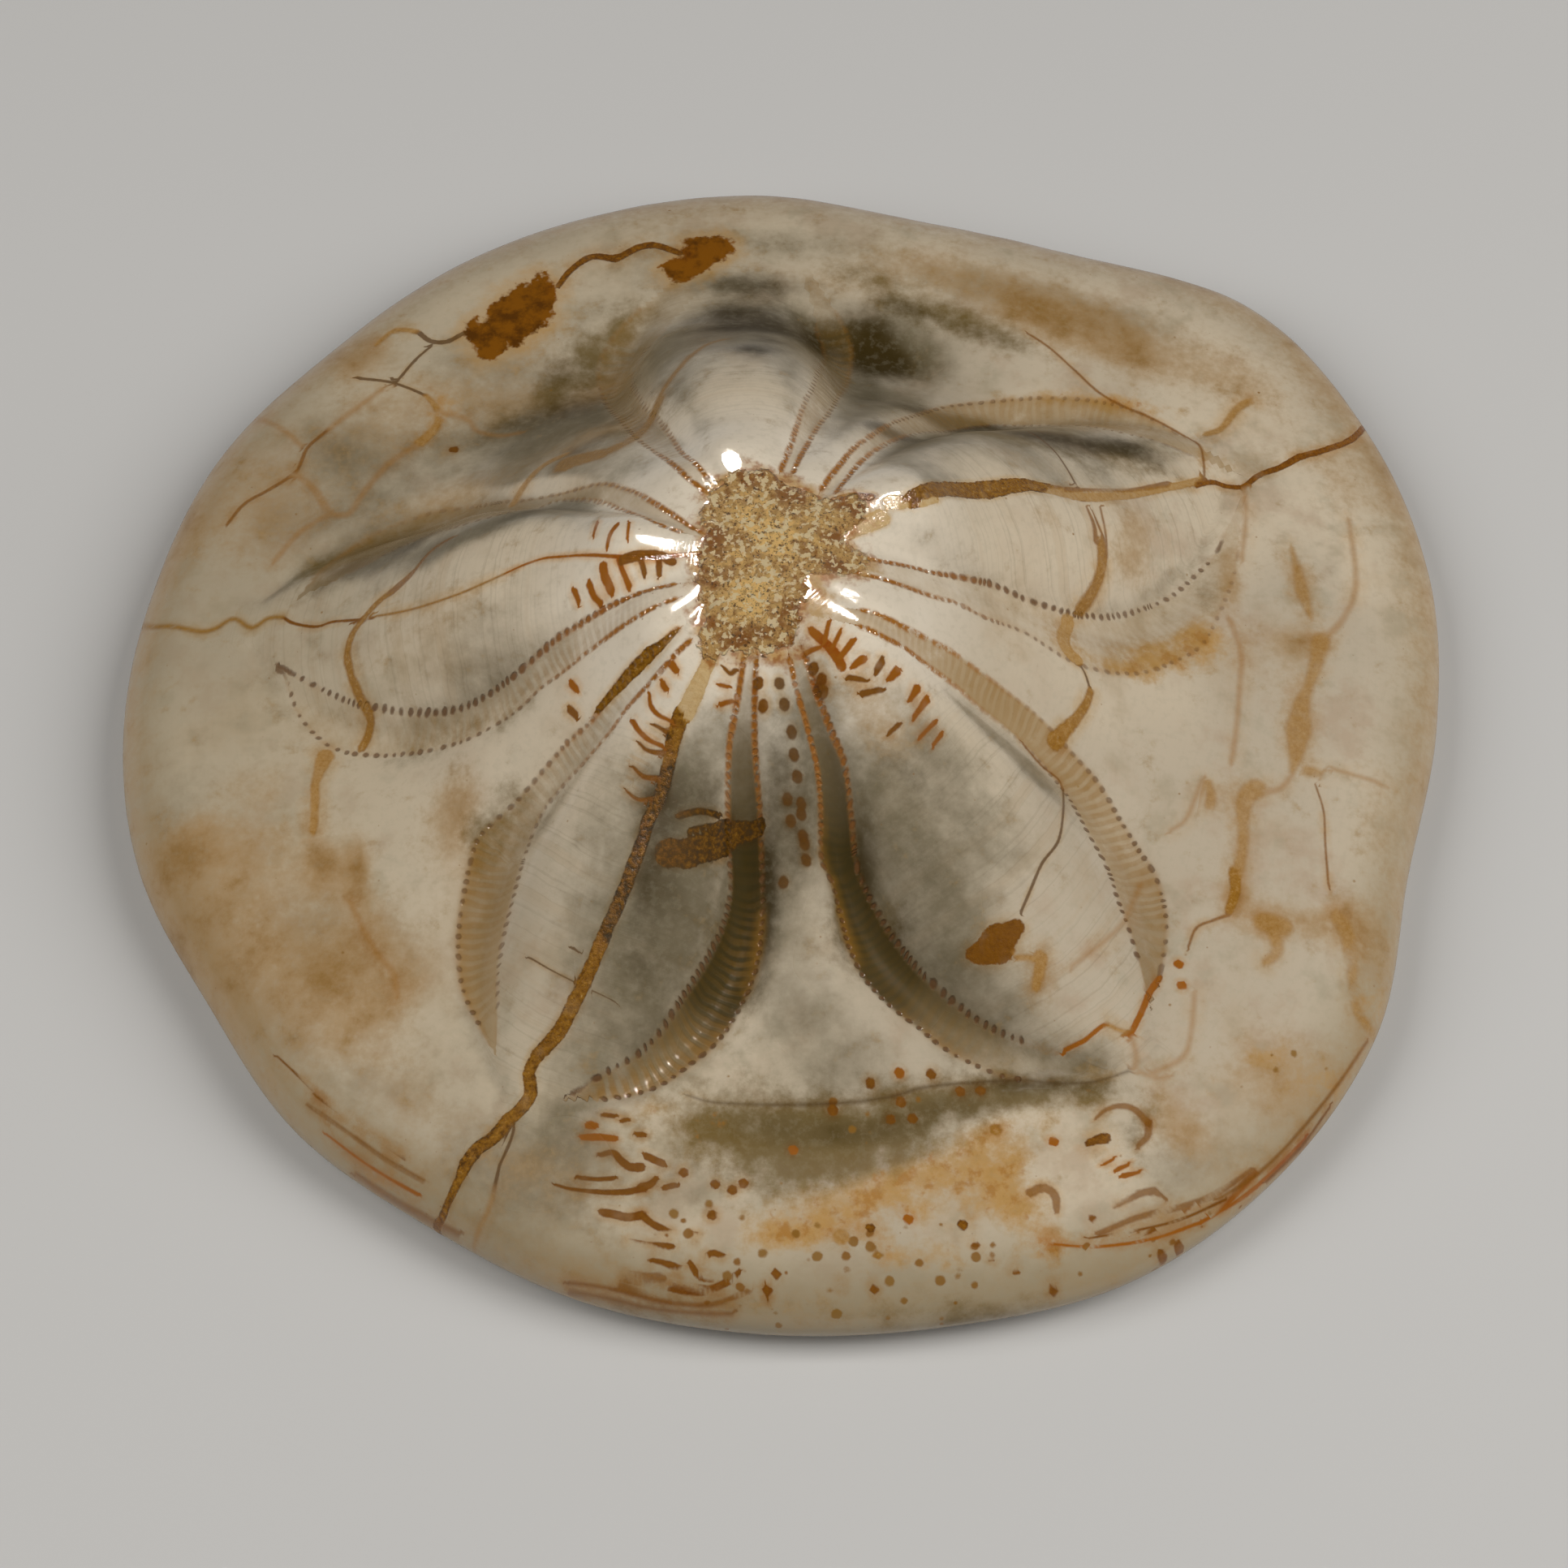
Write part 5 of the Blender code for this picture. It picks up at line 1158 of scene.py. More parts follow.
pit_gap = np.hypot(grid_x - REAR_PIT[0], grid_y - REAR_PIT[1])
pit = REAR_PIT_DEPTH * (1 - ease(pit_gap, 0.4 * REAR_PIT_RADIUS, REAR_PIT_RADIUS))
under_rise = np.where(upper, 0, pit + WORN * ease(waves(6.0, 14, 8), -0.2, 1.4))
flat_rise = np.where(turn_down.ravel() > 3.0, under_rise, 0)

z = height.ravel() / MM + relief + flat_rise
z = np.clip(z, 0, STONE_HIGH[2] / MM)
points = np.column_stack([grid_x, grid_y, z]) * MM
summit_point = [summit[0], summit[1], (z[:BEARINGS].mean()) * MM]
mouth_point = [summit[0], summit[1], MOUTH_DEPTH]
all_points = np.vstack([points, summit_point, mouth_point])
lowest, highest = all_points.min(axis=0) / MM, all_points.max(axis=0) / MM
print("lowest and highest point:", np.round(lowest, 2), np.round(highest, 2))

# %% Faces: rings of quads, closed with a fan at each pole
rings = len(ring_share)
corner = np.arange(rings * BEARINGS).reshape(rings, BEARINGS)
beside = np.roll(corner, -1, axis=1)
quads = np.stack([corner[:-1], corner[1:], beside[1:], beside[:-1]], axis=-1).reshape(-1, 4)
summit_index, mouth_index = rings * BEARINGS, rings * BEARINGS + 1
top_fan = np.column_stack([np.full(BEARINGS, summit_index), corner[0], beside[0]])
mouth_fan = np.column_stack([corner[-1], np.full(BEARINGS, mouth_index), beside[-1]])

mesh = bpy.data.meshes.new("fossil_urchin_stone")
mesh.from_pydata(all_points.tolist(), [], quads.tolist() + top_fan.tolist() + mouth_fan.tolist())
mesh.shade_smooth()
urchin = bpy.data.objects.new("fossil_urchin_stone", mesh)
bpy.context.scene.collection.objects.link(urchin)
print(len(mesh.vertices), "points,", sum(len(f.vertices) - 2 for f in mesh.polygons), "triangles")


# %% Guides become attributes of the mesh
def keep_guide(name, *values):
    """Three numbers for each point, stored as a vector; the two poles copy their ring's mean."""
    table = np.column_stack(values).astype(np.float32)
    poles = np.vstack([table[:BEARINGS].mean(axis=0), table[-BEARINGS:].mean(axis=0)])
    attribute = mesh.attributes.new(name, "FLOAT_VECTOR", "POINT")
    attribute.data.foreach_set("vector", np.vstack([table, poles]).astype(np.float32).ravel())


zero = np.zeros(grid_x.size)
band_inside = np.clip(1 - nearest_band, 0, 1)
for name, (place, look) in line_guides.items():
    keep_guide(name, *place.T)
    keep_guide(name + "_look", *look[:, :3].T)
    keep_guide(name + "_edge", np.maximum(look[:, 3], 0.05), look[:, 4], np.maximum(look[:, 5], 0.1))
keep_guide("band", *band_guide[:, 0:3].T)
keep_guide("band_run", band_guide[:, 3], band_guide[:, 4], band_inside)
keep_guide("band_look", *band_guide[:, 5:8].T)
keep_guide("band_pores", band_guide[:, 8], band_guide[:, 9], zero)
keep_guide("polish_and_shade", dull, off_summit, flange_shade)
keep_guide("wash_warm", washes["tan"], washes["orange"], rust_gap)
keep_guide("cool_wash_and_shade", washes["olive"], washes["grey"], washes["specks"])
keep_guide("painted_deep_shade", washes["deep_shade"], zero, zero)
keep_guide("patch", patch_gap, growth, on_petal)
print("guides:", [a.name for a in mesh.attributes if not a.name.startswith(".")])

# %% A flat map of the surface, so that its finish can be baked for other programs
TOP_MIDDLE, UNDER_MIDDLE = 0.46, 0.86      # both islands lie on the diagonal of the square
TOP_ISLAND, UNDER_ISLAND = 0.45, 0.13      # their radii
RIM_STRIP = 0.07                           # how much of an island the rim takes
to_nose = np.clip(turn_down / (np.pi / 2), 0, 2)
top_reach = np.where(to_nose > 0, 1 - RIM_ROUND + RIM_STRIP * to_nose, share)
under_reach = np.where(to_nose < 2, 1 - RIM_ROUND + RIM_STRIP * (2 - to_nose), share)
around = np.stack([np.cos(bearing), np.sin(bearing)], axis=-1)
top_map = TOP_MIDDLE + TOP_ISLAND * top_reach[..., None] * around
under_map = UNDER_MIDDLE + UNDER_ISLAND * under_reach[..., None] * around
top_map = np.vstack([top_map.reshape(-1, 2), np.full((2, 2), TOP_MIDDLE)])
under_map = np.vstack([under_map.reshape(-1, 2), np.full((2, 2), UNDER_MIDDLE)])
nose_ring = TOP_RINGS + RIM_RINGS // 2 - 1
quad_is_top = np.repeat(np.arange(rings - 1) < nose_ring, BEARINGS)
fan_is_top = np.repeat([True, False], 3 * BEARINGS)
corner_is_top = np.concatenate([np.repeat(quad_is_top, 4), fan_is_top])
corner_point = np.concatenate([quads.ravel(), top_fan.ravel(), mouth_fan.ravel()])
flat_map = np.where(corner_is_top[:, None], top_map[corner_point], under_map[corner_point])
layer = mesh.uv_layers.new(name="OFBake")
layer.data.foreach_set("uv", flat_map.astype(np.float32).ravel())
print("map islands: top radius", TOP_ISLAND, "underside radius", UNDER_ISLAND)

# %% [markdown]
# ## The material
#
# One material paints the whole stone, because it is one stone. It could be a tall stack
# of layers in the shader editor; here small helpers add the nodes, so that each layer
# reads as one line of sums. Distances in the material are in millimetres, like the
# guides. Every pattern reads the object's own coordinates or a guide.

# %% Helpers that add nodes
stone_material = bpy.data.materials.new("polished_fossil_stone")
stone_material.use_nodes = True
tree = stone_material.node_tree
shader = tree.nodes["Principled BSDF"]


def wire(node, socket, value):
    """Sets a socket to a number or colour, or links it when the value comes from a node."""
    if isinstance(value, bpy.types.NodeSocket):
        tree.links.new(value, node.inputs[socket])
    elif value is not None:
        node.inputs[socket].default_value = value


def add_node(kind, settings=(), **sockets):
    """A node with its settings made and its named sockets set or linked."""
    node = tree.nodes.new(kind)
    for name, value in dict(settings).items():
        setattr(node, name, value)
    for name, value in sockets.items():
        wire(node, name.replace("_", " "), value)
    return node


def sum_of(operation, first, second=None, third=None):
    """One Math node: ADD, SUBTRACT, MULTIPLY, MAXIMUM and so on."""
    node = add_node("ShaderNodeMath", {"operation": operation})
    for socket, value in enumerate((first, second, third)):
        wire(node, socket, value)
    return node.outputs[0]


def add(first, second):
    """first + second"""
    return sum_of("ADD", first, second)


def less(first, second):
    """first - second"""
    return sum_of("SUBTRACT", first, second)


def times(first, second):
    """first * second"""
    return sum_of("MULTIPLY", first, second)


def larger(first, second):
    """The larger of the two."""
    return sum_of("MAXIMUM", first, second)


def size_of(value):
    """The value without its sign."""
    return sum_of("ABSOLUTE", value)


def eased(value, low, high, start=0.0, end=1.0):
    """A smooth rise from start, where the value is low, to end, where it is high."""
    node = add_node("ShaderNodeMapRange", {"interpolation_type": "SMOOTHSTEP"})
    for socket, number in enumerate((value, low, high, start, end)):
        wire(node, socket, number)
    return node.outputs[0]


def blend(share, first, second, way="MIX"):
    """Colour: first where the share is 0, second where it is 1. MULTIPLY tints instead of covering."""
    node = add_node("ShaderNodeMix", {"data_type": "RGBA", "clamp_factor": True, "blend_type": way})
    wire(node, 0, share)
    wire(node, 6, first)
    wire(node, 7, second)
    return node.outputs[2]


def colour(red, green, blue):
    """An opaque colour."""
    return (red, green, blue, 1.0)


def guide(name):
    """The three numbers of a guide."""
    read = add_node("ShaderNodeAttribute", {"attribute_type": "GEOMETRY", "attribute_name": name})
    parts = add_node("ShaderNodeSeparateXYZ", Vector=read.outputs["Vector"])
    return parts.outputs[0], parts.outputs[1], parts.outputs[2]


object_place = add_node("ShaderNodeTexCoord").outputs["Object"]


def mottle(feature_mm, detail, rough=0.5):
    """Noise about 0.5, with features of the given size. Each step of detail halves them once
    more and takes render time, so it stops where the features are too small to see."""
    node = add_node("ShaderNodeTexNoise", Vector=object_place, Scale=1 / (feature_mm * MM),
                    Detail=detail, Roughness=rough)
    return node.outputs[0]


def streaks(along, feature_mm, detail=2.0):
    """Noise that changes only along one number, such as the ring count."""
    node = add_node("ShaderNodeTexNoise", {"noise_dimensions": "1D"}, W=along, Scale=1 / feature_mm,
                    Detail=detail, Roughness=0.6)
    return node.outputs[0]


# %% [markdown]
# ### The polished stone itself
#
# Calcite is ivory where it is dense, grey where light sinks into it and tan where iron
# has seeped in. Three sizes of noise mix the three colours, and the washes say where
# grey, olive, tan and orange gather. The growth rings add fine streaks. Painted light
# brightens the summit, and painted shade darkens the flange towards its rim and its
# left, the hollows and the flanks that face the front.

# %% Base colours, growth streaks and washes
IVORY, PALE_GREY = colour(0.66, 0.565, 0.43), colour(0.53, 0.455, 0.35)
# The grey serves the growth streaks and the grey wash; the second colour is the darkest painted shade.
COOL_GREY, DEEPEST_SHADE = colour(0.142, 0.116, 0.066), colour(0.040, 0.025, 0.004)
# The colour of the painted light on the summit.
SUMMIT_LIGHT = colour(0.80, 0.72, 0.60)
PINK_TAN, GREY_GREEN = colour(0.43, 0.30, 0.20), colour(0.36, 0.33, 0.24)
# The colour of the painted shade on the flange and the rear rim.
FLANGE_SHADE = colour(0.34, 0.28, 0.18)
WARM_TAN, ORANGE, OLIVE = colour(0.40, 0.245, 0.10), colour(0.49, 0.285, 0.090), colour(0.140, 0.090, 0.018)
STAIN_CORE, ORANGE_CORE = colour(0.25, 0.125, 0.020), colour(0.36, 0.15, 0.018)

clouds, patches = mottle(34, 2), mottle(11, 4, 0.6)
flecks, dust = mottle(3.2, 5, 0.65), mottle(0.9, 3, 0.6)
tan, orange, rust_distance = guide("wash_warm")
olive, grey, specks = guide("cool_wash_and_shade")
patch_distance, ring_count, petal_share = guide("patch")
deep_shade = guide("painted_deep_shade")[0]

stone = blend(eased(clouds, 0.40, 0.66), IVORY, PALE_GREY)
stone = blend(times(eased(patches, 0.50, 0.72), 0.30), stone, WARM_TAN)
stone = blend(times(eased(flecks, 0.52, 0.75), 0.18), stone, PALE_GREY)
pink_share = times(eased(mottle(7.5, 4, 0.62), 0.50, 0.68), 0.42)
green_share = times(eased(mottle(5.5, 4, 0.62), 0.52, 0.70), 0.38)
flange_share = eased(ring_count, 30.0, 52.0, 0.25, 1.0)
stone = blend(times(pink_share, flange_share), stone, PINK_TAN)
stone = blend(times(green_share, flange_share), stone, GREY_GREEN)

bent_count = add(ring_count, times(less(patches, 0.5), 1.6))
fine_streak = streaks(bent_count, 0.42, 3)
broad_streak = streaks(bent_count, 2.6, 2)
streak_dark = times(eased(fine_streak, 0.50, 0.72), add(0.02, times(petal_share, times(flecks, 0.26))))
stone = blend(streak_dark, stone, COOL_GREY)
stone = blend(times(eased(broad_streak, 0.52, 0.74), times(petal_share, 0.14)), stone, WARM_TAN)


def washed(share, noise, push=0.55):
    """A wash whose edge is broken up: the share is pushed up and down by noise."""
    return eased(add(share, times(less(noise, 0.5), push)), 0.06, 0.85)


dull_share, off_summit, flange_shade = guide("polish_and_shade")
# Painted light: brighter towards the summit.
stone = blend(times(less(1.0, off_summit), 0.80), stone, SUMMIT_LIGHT)
# Painted shade: the flange away from the summit, its left and the rear rim.
stone = blend(flange_shade, stone, FLANGE_SHADE)
mixed = add(times(flecks, 0.6), times(patches, 0.4))
# The grey wash: partly the stone's grey, partly painted shade.
stone = blend(times(washed(grey, mixed, 1.0), 0.92), stone, COOL_GREY)
stone = blend(times(washed(tan, add(times(flecks, 0.55), times(dust, 0.45)), 1.2), 0.80), stone, WARM_TAN)
stone = blend(times(eased(add(tan, times(less(mixed, 0.5), 1.6)), 0.55, 1.15), 0.80), stone, STAIN_CORE)
orange_push = times(less(add(times(flecks, 0.7), times(dust, 0.3)), 0.5), 2.4)
stone = blend(times(eased(add(orange, orange_push), 0.12, 1.05), 0.95), stone, ORANGE)
# Olive: stain, and in the valleys partly painted shade.
stone = blend(times(washed(olive, flecks, 1.3), 0.88), stone, OLIVE)
orange_core = times(eased(add(orange, times(less(mottle(1.7, 3, 0.65), 0.5), 2.6)), 0.75, 1.25), 0.60)
stone = blend(orange_core, stone, ORANGE_CORE)
# Painted shade, the darkest, from its bells.
stone = blend(times(washed(deep_shade, flecks, 0.45), 0.96), stone, DEEPEST_SHADE)
stone = blend(times(eased(dust, 0.48, 0.66), 0.12), stone, GREY_GREEN)
print("nodes so far:", len(tree.nodes))

# %% [markdown]
# ### Crisp rust and scattered specks
#
# Iron that crept in along the growth lines stops sharply, so its outline is only
# roughened a little. The specks are cells of a Voronoi pattern: each cell has one dot
# near its middle, and its own random number decides whether the dot is there at all.

# %% Rust stains and specks
RUST, RUST_DARK = colour(0.22, 0.078, 0.003), colour(0.10, 0.034, 0.002)
SPECK_CELL, SPECK_RADIUS = 1.9, 0.46

rough_edge = add(times(less(mottle(2.6, 3, 0.65), 0.5), 4.2), times(less(dust, 0.5), 1.6))
rust_share = eased(add(rust_distance, rough_edge), 0.30, -0.35)
rust_halo = times(eased(add(rust_distance, rough_edge), 2.6, 0.0), 0.45)
rust_colour = blend(eased(flecks, 0.42, 0.62), RUST, RUST_DARK)
stone = blend(rust_halo, stone, ORANGE)
stone = blend(rust_share, stone, rust_colour)

cells = add_node("ShaderNodeTexVoronoi", Vector=object_place, Scale=1 / (SPECK_CELL * MM), Randomness=0.9)
speck_gap = times(cells.outputs["Distance"], SPECK_CELL)
cell_number = add_node("ShaderNodeSeparateColor", Color=cells.outputs["Color"]).outputs[0]
speck_radius = times(eased(add(specks, cell_number), 0.75, 1.6), 1.3 * SPECK_RADIUS)
speck_share = eased(less(add(speck_gap, times(less(dust, 0.5), 0.5)), speck_radius), 0.12, -0.14)
stone = blend(times(speck_share, 0.90), stone, blend(cell_number, RUST, STAIN_CORE))

# %% [markdown]
# ### Pore bands
#
# The band's guide makes this simple. Where the count of pores is halfway between two
# whole numbers and the share across is 0 or 1, there is a pore. Between the two rows
# runs the comb of furrows, and brown mineral fills the band more or less.

# %% Pores, comb and filling
PORE_BROWN, COMB_BROWN = colour(0.13, 0.060, 0.022), colour(0.29, 0.142, 0.018)
ROW_GOLD, ROW_ORANGE = colour(0.36, 0.150, 0.024), colour(0.30, 0.105, 0.012)
FILL_PALE, FILL_DARK = colour(0.44, 0.27, 0.090), colour(0.046, 0.032, 0.006)
PORE_RADIUS, PORE_EDGE, PORE_STRETCH = 0.24, 0.12, 1.05
ROW_STAIN_HALF = 0.52       # millimetres: near the summit each row is a thin stained line

across, count, band_width = guide("band")
fill, comb, fill_dark = guide("band_look")
pitch, band_run, in_band = guide("band_run")
inner_pores, outer_pores, _ = guide("band_pores")
uneven_count = add(count, times(less(mottle(4.0, 1), 0.5), 1.3))
to_pore = less(sum_of("FRACT", uneven_count), 0.5)
along_pore = times(to_pore, pitch)
pore_random = streaks(sum_of("FLOOR", uneven_count), 0.37, 0)
in_band_soft = eased(in_band, 0.1, 0.5)


def pore_row(row, strength):
    """Dots where the distance from the row and from the pore's middle is under the radius."""
    beside = times(less(across, row), times(band_width, 1 / PORE_STRETCH))
    gap = sum_of("SQRT", add(times(beside, beside), times(along_pore, along_pore)))
    radius = times(add(times(pore_random, 0.8), add(0.35, times(strength, 0.5))), PORE_RADIUS)
    dot = eased(less(add(gap, times(less(dust, 0.5), 0.30)), radius), PORE_EDGE, -PORE_EDGE)
    return times(dot, eased(strength, 0.0, 0.8))


def row_stain(row):
    """A thin line along the row, broken by noise."""
    beside = size_of(times(less(across, row), band_width))
    broken = eased(add(mottle(0.8, 2, 0.6), times(less(flecks, 0.5), 0.8)), 0.32, 0.52)
    return times(eased(beside, ROW_STAIN_HALF, 0.08), broken)


near_summit = eased(band_run, 0.42, 0.05)
pores = times(larger(pore_row(0.0, inner_pores), pore_row(1.0, outer_pores)), in_band_soft)
row_line = times(larger(row_stain(0.0), row_stain(1.0)), times(in_band_soft, add(0.12, near_summit)))
between = times(eased(across, -0.06, 0.10), eased(across, 1.12, 0.94))
between = times(between, in_band)
tooth = eased(size_of(to_pore), 0.40, 0.16)
tooth = times(tooth, times(eased(across, 0.05, 0.65, 0.35, 1.0), between))
furrow = times(tooth, comb)
tooth = times(furrow, eased(flecks, 0.30, 0.55, 0.5, 1.0))
band_fill = times(times(between, fill), eased(add(flecks, times(fill, 0.3)), 0.38, 0.64, 0.45, 1.0))
edge_stain = times(times(eased(size_of(less(across, 1.0)), 0.35, 0.0), fill), eased(patches, 0.4, 0.6))

banded = blend(times(band_fill, 0.95), stone, blend(fill_dark, FILL_PALE, FILL_DARK))
banded = blend(times(times(edge_stain, in_band), 0.6), banded, COMB_BROWN)
banded = blend(times(times(tooth, eased(patches, 0.36, 0.60, 0.45, 1.0)), 0.66), banded, COMB_BROWN)
banded = blend(times(row_line, 0.95), banded, ROW_GOLD)
banded = blend(times(pores, 0.85), banded, blend(eased(band_run, 0.45, 0.15), PORE_BROWN, ROW_ORANGE))

# %% [markdown]
# ### Veins and marks
#
# The signed distance gives the crisp core of a line. The plain distance cuts it off at
# its ends. Noise pushes the edge in and out, so the vein swells and thins as minerals
# do, and grain inside it mixes gold with dark brown.

# %% Lines
CREAM, PALE_TAN, GOLD = colour(0.66, 0.50, 0.27), colour(0.46, 0.28, 0.095), colour(0.31, 0.150, 0.012)
BROWN, DEEP_BROWN = colour(0.185, 0.080, 0.005), colour(0.080, 0.036, 0.004)
NEAR_BLACK = colour(0.033, 0.024, 0.013)
ORANGE_BROWN = colour(0.36, 0.110, 0.010)
HALO_TAN, HALO_ORANGE = colour(0.86, 0.66, 0.38), colour(0.90, 0.58, 0.28)
LINE_TONES = ((0.05, CREAM), (0.30, PALE_TAN), (0.44, GOLD),
              (0.66, BROWN), (0.82, DEEP_BROWN), (1.0, NEAR_BLACK))
BLUNT_END, BLUNT_WIDTH = 0.45, 0.58     # millimetres: the plain distance is vague between grid points

grain = less(mottle(0.55, 3, 0.7), 0.5)
swelling = add(times(less(mottle(1.6, 2, 0.6), 0.5), 0.9), times(less(mottle(0.35, 1), 0.5), 0.35))
breaks = eased(mottle(2.4, 1), 0.25, 0.45, 0.86, 1.0)


def lines_over(name, below, shaded):
    """Paints one set of lines over a colour, darker where the ground is shaded; returns the
    colour, the cover and the graininess."""
    offset, distance, half = guide(name)
    dark, orange_share, graininess = guide(name + "_look")
    soft, cover, halo = guide(name + "_edge")
    vague = larger(sum_of("MINIMUM", less(BLUNT_WIDTH, half), BLUNT_END), 0.0)
    core = larger(size_of(offset), less(distance, vague))
    gap = add(less(core, half), times(swelling, add(0.08, times(half, 0.6))))
    covered = times(eased(gap, soft, times(soft, -1.0)), cover)
    halo_share = times(times(eased(gap, times(halo, 1.5), 0.0), cover), eased(flecks, 0.38, 0.60, 0.10, 0.60))
    below = blend(halo_share, below, blend(orange_share, HALO_TAN, HALO_ORANGE), "MULTIPLY")
    tone = add(dark, times(times(grain, graininess), 1.1))
    tone = add(tone, times(times(eased(gap, -0.30, 0.02), 0.12), graininess))
    ramp = add_node("ShaderNodeValToRGB", Fac=tone)
    while len(ramp.color_ramp.elements) < len(LINE_TONES):
        ramp.color_ramp.elements.new(0.5)
    for stop, (place, shade) in zip(ramp.color_ramp.elements, LINE_TONES):
        stop.position, stop.color = place, shade
    painted = blend(times(orange_share, 0.85), ramp.outputs["Color"], ORANGE_BROWN)
    painted = blend(shaded, painted, DEEP_BROWN)
    return blend(times(covered, breaks), below, painted), covered, graininess


# Marks take the painted shade too, where the grey and darkest washes lie.
dark_ground = larger(times(deep_shade, 0.75), times(grey, 0.55))
veined, seam_share, seam_grain = lines_over("seam", banded, times(dark_ground, 0.3))
marked = veined
for sheet in SHEETS:
    marked = lines_over(sheet, marked, dark_ground)[0]

# %% [markdown]
# ### The rough patch
#
# This is matrix, the sandy rock round the fossil. It was never polished: pale grains
# stand in brown cement, and it takes no shine.

# %% Rough patch
SAND, CEMENT, DARK_GRAIN = colour(0.97, 0.64, 0.22), colour(0.31, 0.115, 0.010), colour(0.10, 0.040, 0.008)
PALE_SAND = colour(0.95, 0.78, 0.46)

patch_edge = add(times(less(mottle(3.0, 4, 0.65), 0.5), 5.0), times(less(mottle(0.5, 1), 0.5), 1.2))
patch_share = eased(add(patch_distance, patch_edge), 0.30, -0.30)
patch_halo = times(eased(add(patch_distance, times(less(mottle(1.8, 3, 0.65), 0.5), 6.0)), 1.9, -0.3), 0.85)
marked = blend(patch_halo, marked, blend(eased(dust, 0.40, 0.60), ROW_ORANGE, ORANGE))
sand_grain = mottle(0.42, 4, 0.75)
sand_lumps = mottle(2.8, 3, 0.6)
patch_depth = eased(patch_distance, -5.0, -0.5)
brown_share = times(add(times(eased(sand_lumps, 0.46, 0.60), 0.60), times(patch_depth, 0.55)), 0.90)
brown_share = larger(brown_share, times(orange, 0.85))
patch_colour = blend(eased(sand_grain, 0.34, 0.52), CEMENT, SAND)
patch_colour = blend(brown_share, patch_colour, CEMENT)
patch_colour = blend(times(eased(mottle(0.62, 2, 0.7), 0.58, 0.66), 0.9), patch_colour, DARK_GRAIN)
patch_colour = blend(times(eased(mottle(0.8, 2, 0.6), 0.52, 0.60), 0.9), patch_colour, PALE_SAND)
surface_colour = blend(patch_share, marked, patch_colour)

# %% [markdown]
# ### Shine and bump
#
# Polish gives low roughness. The pores, the fillings, the veins and the hollows and flanks
# under painted shade are duller, except near the summit, where everything but the rough
# patch took the polish. The pores, furrows, veins and sand grains carry the bump: a height in
# millimetres, with the bump's distance set to one millimetre so that the numbers keep
# their meaning. Blender works the height out three times for each place, so only what
# changes it enough to be seen goes in.

# %% Roughness, bump and output
POLISHED, SATIN, FILLED, DULL, UNPOLISHED = 0.10, 0.22, 0.34, 0.60, 1.0

filled = times(larger(larger(band_fill, pores), times(seam_share, seam_grain)), off_summit)
roughness = add(eased(off_summit, 0.0, 1.0, POLISHED, SATIN), times(eased(patches, 0.35, 0.70), 0.05))
roughness = larger(roughness, times(filled, FILLED))
roughness = larger(roughness, times(dull_share, DULL))
roughness = larger(roughness, times(patch_share, UNPOLISHED))

bump_height = add(times(mottle(0.7, 1), 0.012), times(less(1.0, off_summit), times(dust, 0.014)))
bump_height = add(bump_height, times(times(streaks(ring_count, 0.42), petal_share), 0.016))
bump_height = less(bump_height, times(pores, 0.16))
bump_height = less(bump_height, times(furrow, 0.045))
bump_height = less(bump_height, times(times(seam_share, add(0.4, seam_grain)), add(0.05, times(grain, 0.16))))
bump_height = add(bump_height, times(patch_share, times(sand_grain, 0.8)))
bump = add_node("ShaderNodeBump", Height=bump_height, Strength=1.0, Distance=MM)

tree.links.new(surface_colour, shader.inputs["Base Color"])
tree.links.new(roughness, shader.inputs["Roughness"])
tree.links.new(bump.outputs["Normal"], shader.inputs["Normal"])
shader.inputs["IOR"].default_value = 1.52
shader.inputs["Metallic"].default_value = 0.0
mesh.materials.append(stone_material)
print("the stone's material has", len(tree.nodes), "nodes")

# %% Stand in for the plain solid
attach(urchin, "root")
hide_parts("fossil_urchin")

# %% [markdown]
# ## Floor, light and camera
#
# A pale floor and three lights, as in a small studio. Two broad soft ones stand left and
# right and give the stone its form. The polish would mirror them as grey sheets over the
# dark hollows, so they are kept out of reflections. The third is small, stands close
# behind the summit and has a grid in front, so that its beam stays on the summit: it is
# only seen mirrored, as the white glints in the polish round the rough patch.

# %% Floor
FLOOR_HALF = 1.6
floor_mesh = bpy.data.meshes.new("floor")
floor_mesh.from_pydata([(-FLOOR_HALF, -FLOOR_HALF, 0), (FLOOR_HALF, -FLOOR_HALF, 0),
                        (FLOOR_HALF, FLOOR_HALF, 0), (-FLOOR_HALF, FLOOR_HALF, 0)], [], [(0, 1, 2, 3)])
floor = bpy.data.objects.new("floor", floor_mesh)
bpy.context.scene.collection.objects.link(floor)
floor_material = bpy.data.materials.new("pale_floor")
floor_material.use_nodes = True
floor_shader = floor_material.node_tree.nodes["Principled BSDF"]
floor_shader.inputs["Base Color"].default_value = colour(0.62, 0.625, 0.635)
floor_shader.inputs["Roughness"].default_value = 0.75
floor_mesh.materials.append(floor_material)


# %% Lights
WARM_LIGHT = (1.0, 0.965, 0.905)


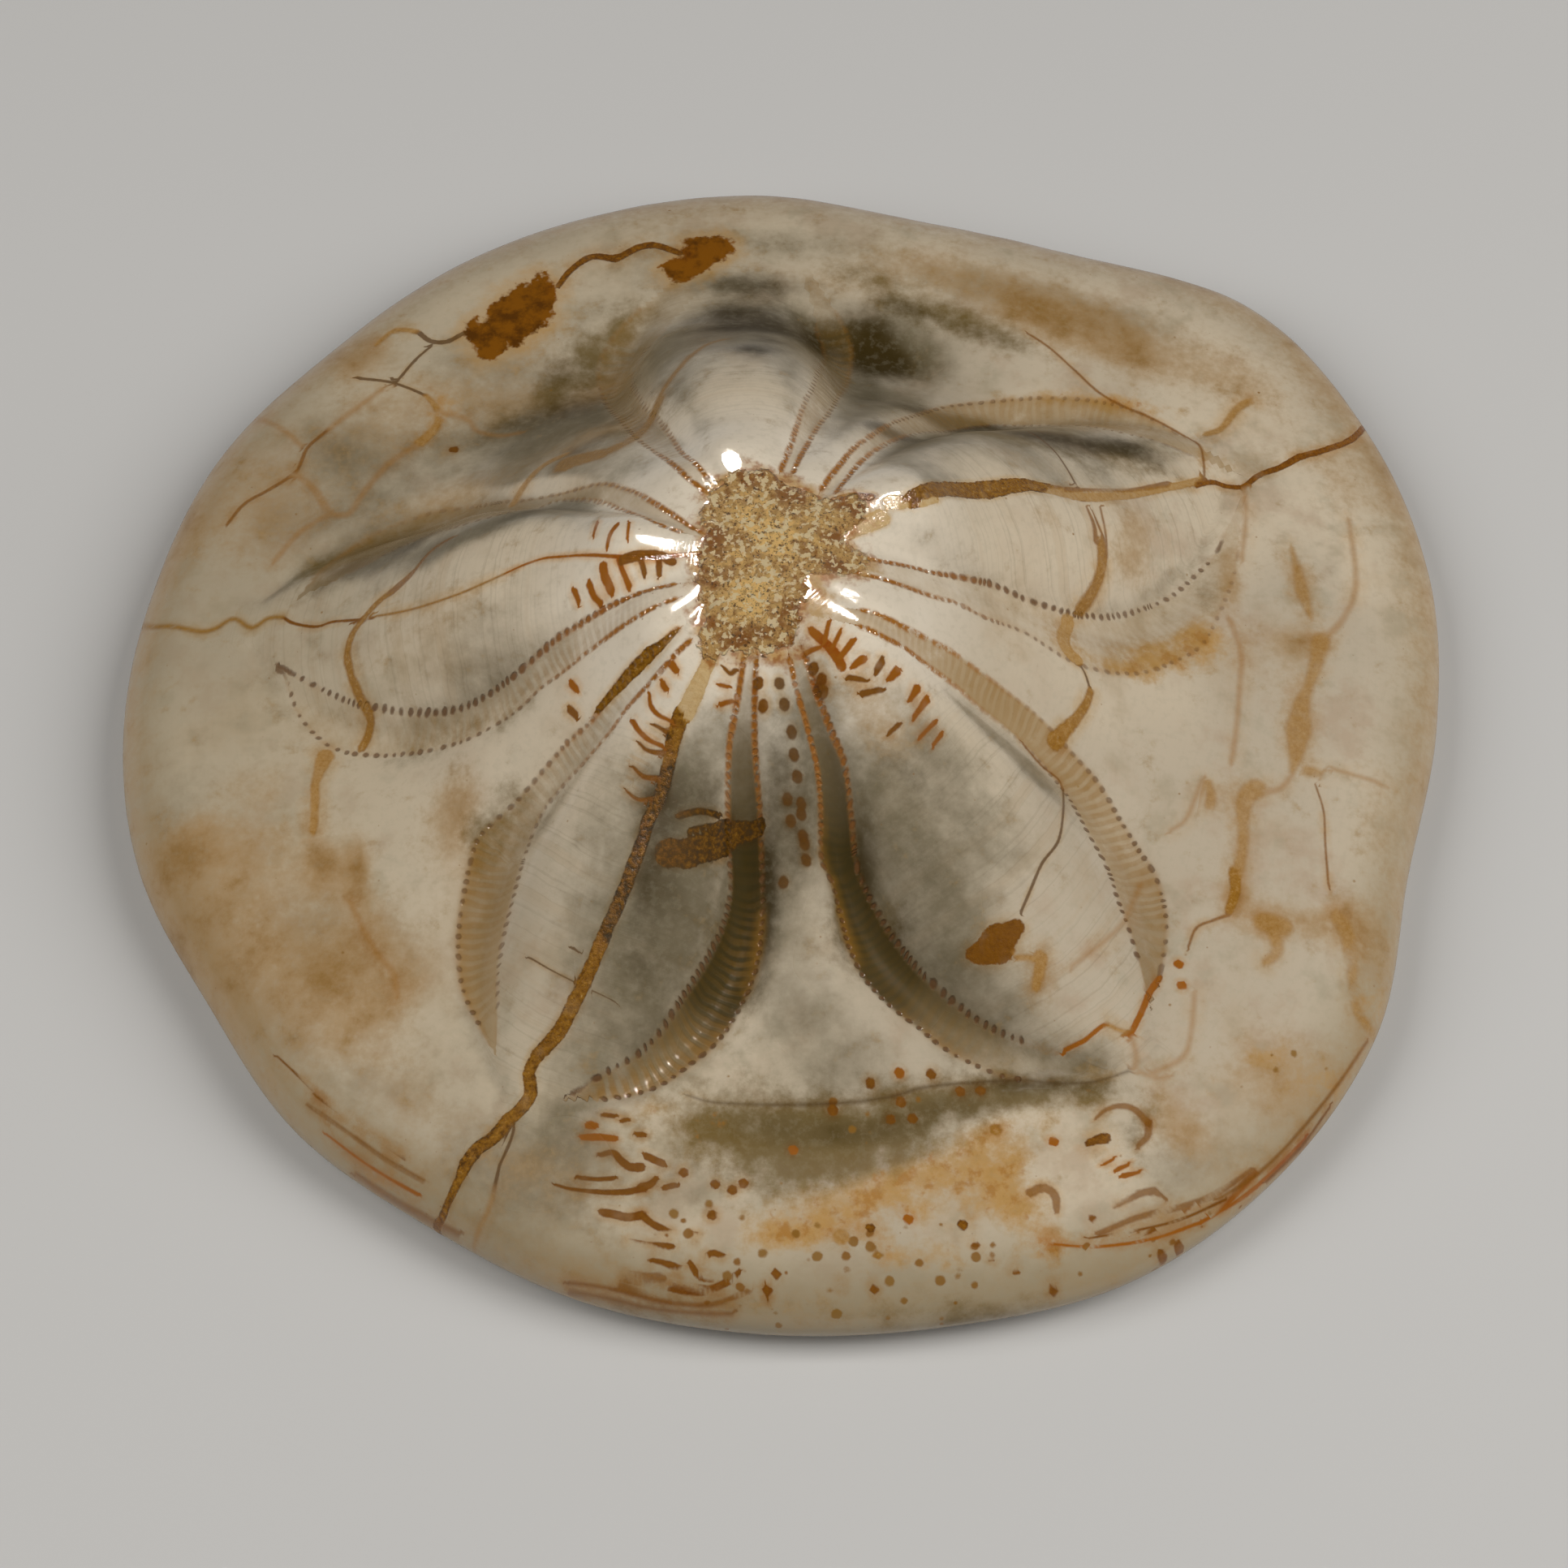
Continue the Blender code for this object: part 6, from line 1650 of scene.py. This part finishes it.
def soft_light(name, place, width, depth, power, aim=(0.0, 0.0, 0.02)):
    """A rectangular area light, turned to shine on the stone."""
    lamp = bpy.data.lights.new(name, "AREA")
    lamp.shape, lamp.size, lamp.size_y, lamp.energy = "RECTANGLE", width, depth, power
    lamp.color = WARM_LIGHT
    light = bpy.data.objects.new(name, lamp)
    light.location = place
    light.rotation_euler = (Vector(place) - Vector(aim)).to_track_quat("Z", "Y").to_euler()
    bpy.context.scene.collection.objects.link(light)
    return light


left = soft_light("left", (-0.60, -0.15, 0.66), 0.50, 0.80, 4.3)
right = soft_light("right", (0.60, -0.14, 0.66), 0.50, 0.80, 5.9)
left.visible_glossy = right.visible_glossy = False          # they light the stone but aren't mirrored in it
BEHIND_WAY, BEHIND_DISTANCE, BEHIND_SIZE = np.array([0.0, 0.50, 0.866]), 0.15, 0.044
behind_place = summit_point + BEHIND_DISTANCE * BEHIND_WAY
behind = soft_light("behind", behind_place, BEHIND_SIZE, BEHIND_SIZE, 0.016, summit_point)
behind.data.spread = np.radians(17.0)                       # a grid keeps its beam on the summit
behind.visible_diffuse = behind.visible_camera = False      # it is only seen mirrored in the polish
world = bpy.data.worlds.new("studio")
world.use_nodes = True
world.node_tree.nodes["Background"].inputs["Color"].default_value = colour(0.84, 0.83, 0.82)
world.node_tree.nodes["Background"].inputs["Strength"].default_value = 0.05
bpy.context.scene.world = world
bpy.context.scene.view_settings.view_transform = "Standard"

# %% Camera
camera_data = bpy.data.cameras.new("camera")
camera_data.lens = SENSOR_WIDTH * 1000 * focal_pixels / PHOTO_PIXELS
camera_data.clip_start = 0.01
camera = bpy.data.objects.new("camera", camera_data)
camera.location = camera_place
camera.rotation_euler = Vector(camera_back).to_track_quat("Z", "Y").to_euler()
bpy.context.scene.collection.objects.link(camera)
bpy.context.scene.camera = camera
print("lens", round(camera_data.lens, 1), "mm, camera at", np.round(camera_place, 3))

# %% [markdown]
# ## Done

# The looks may not change the stone's size.

# %% Bring the scene up to date
bpy.context.view_layer.update()
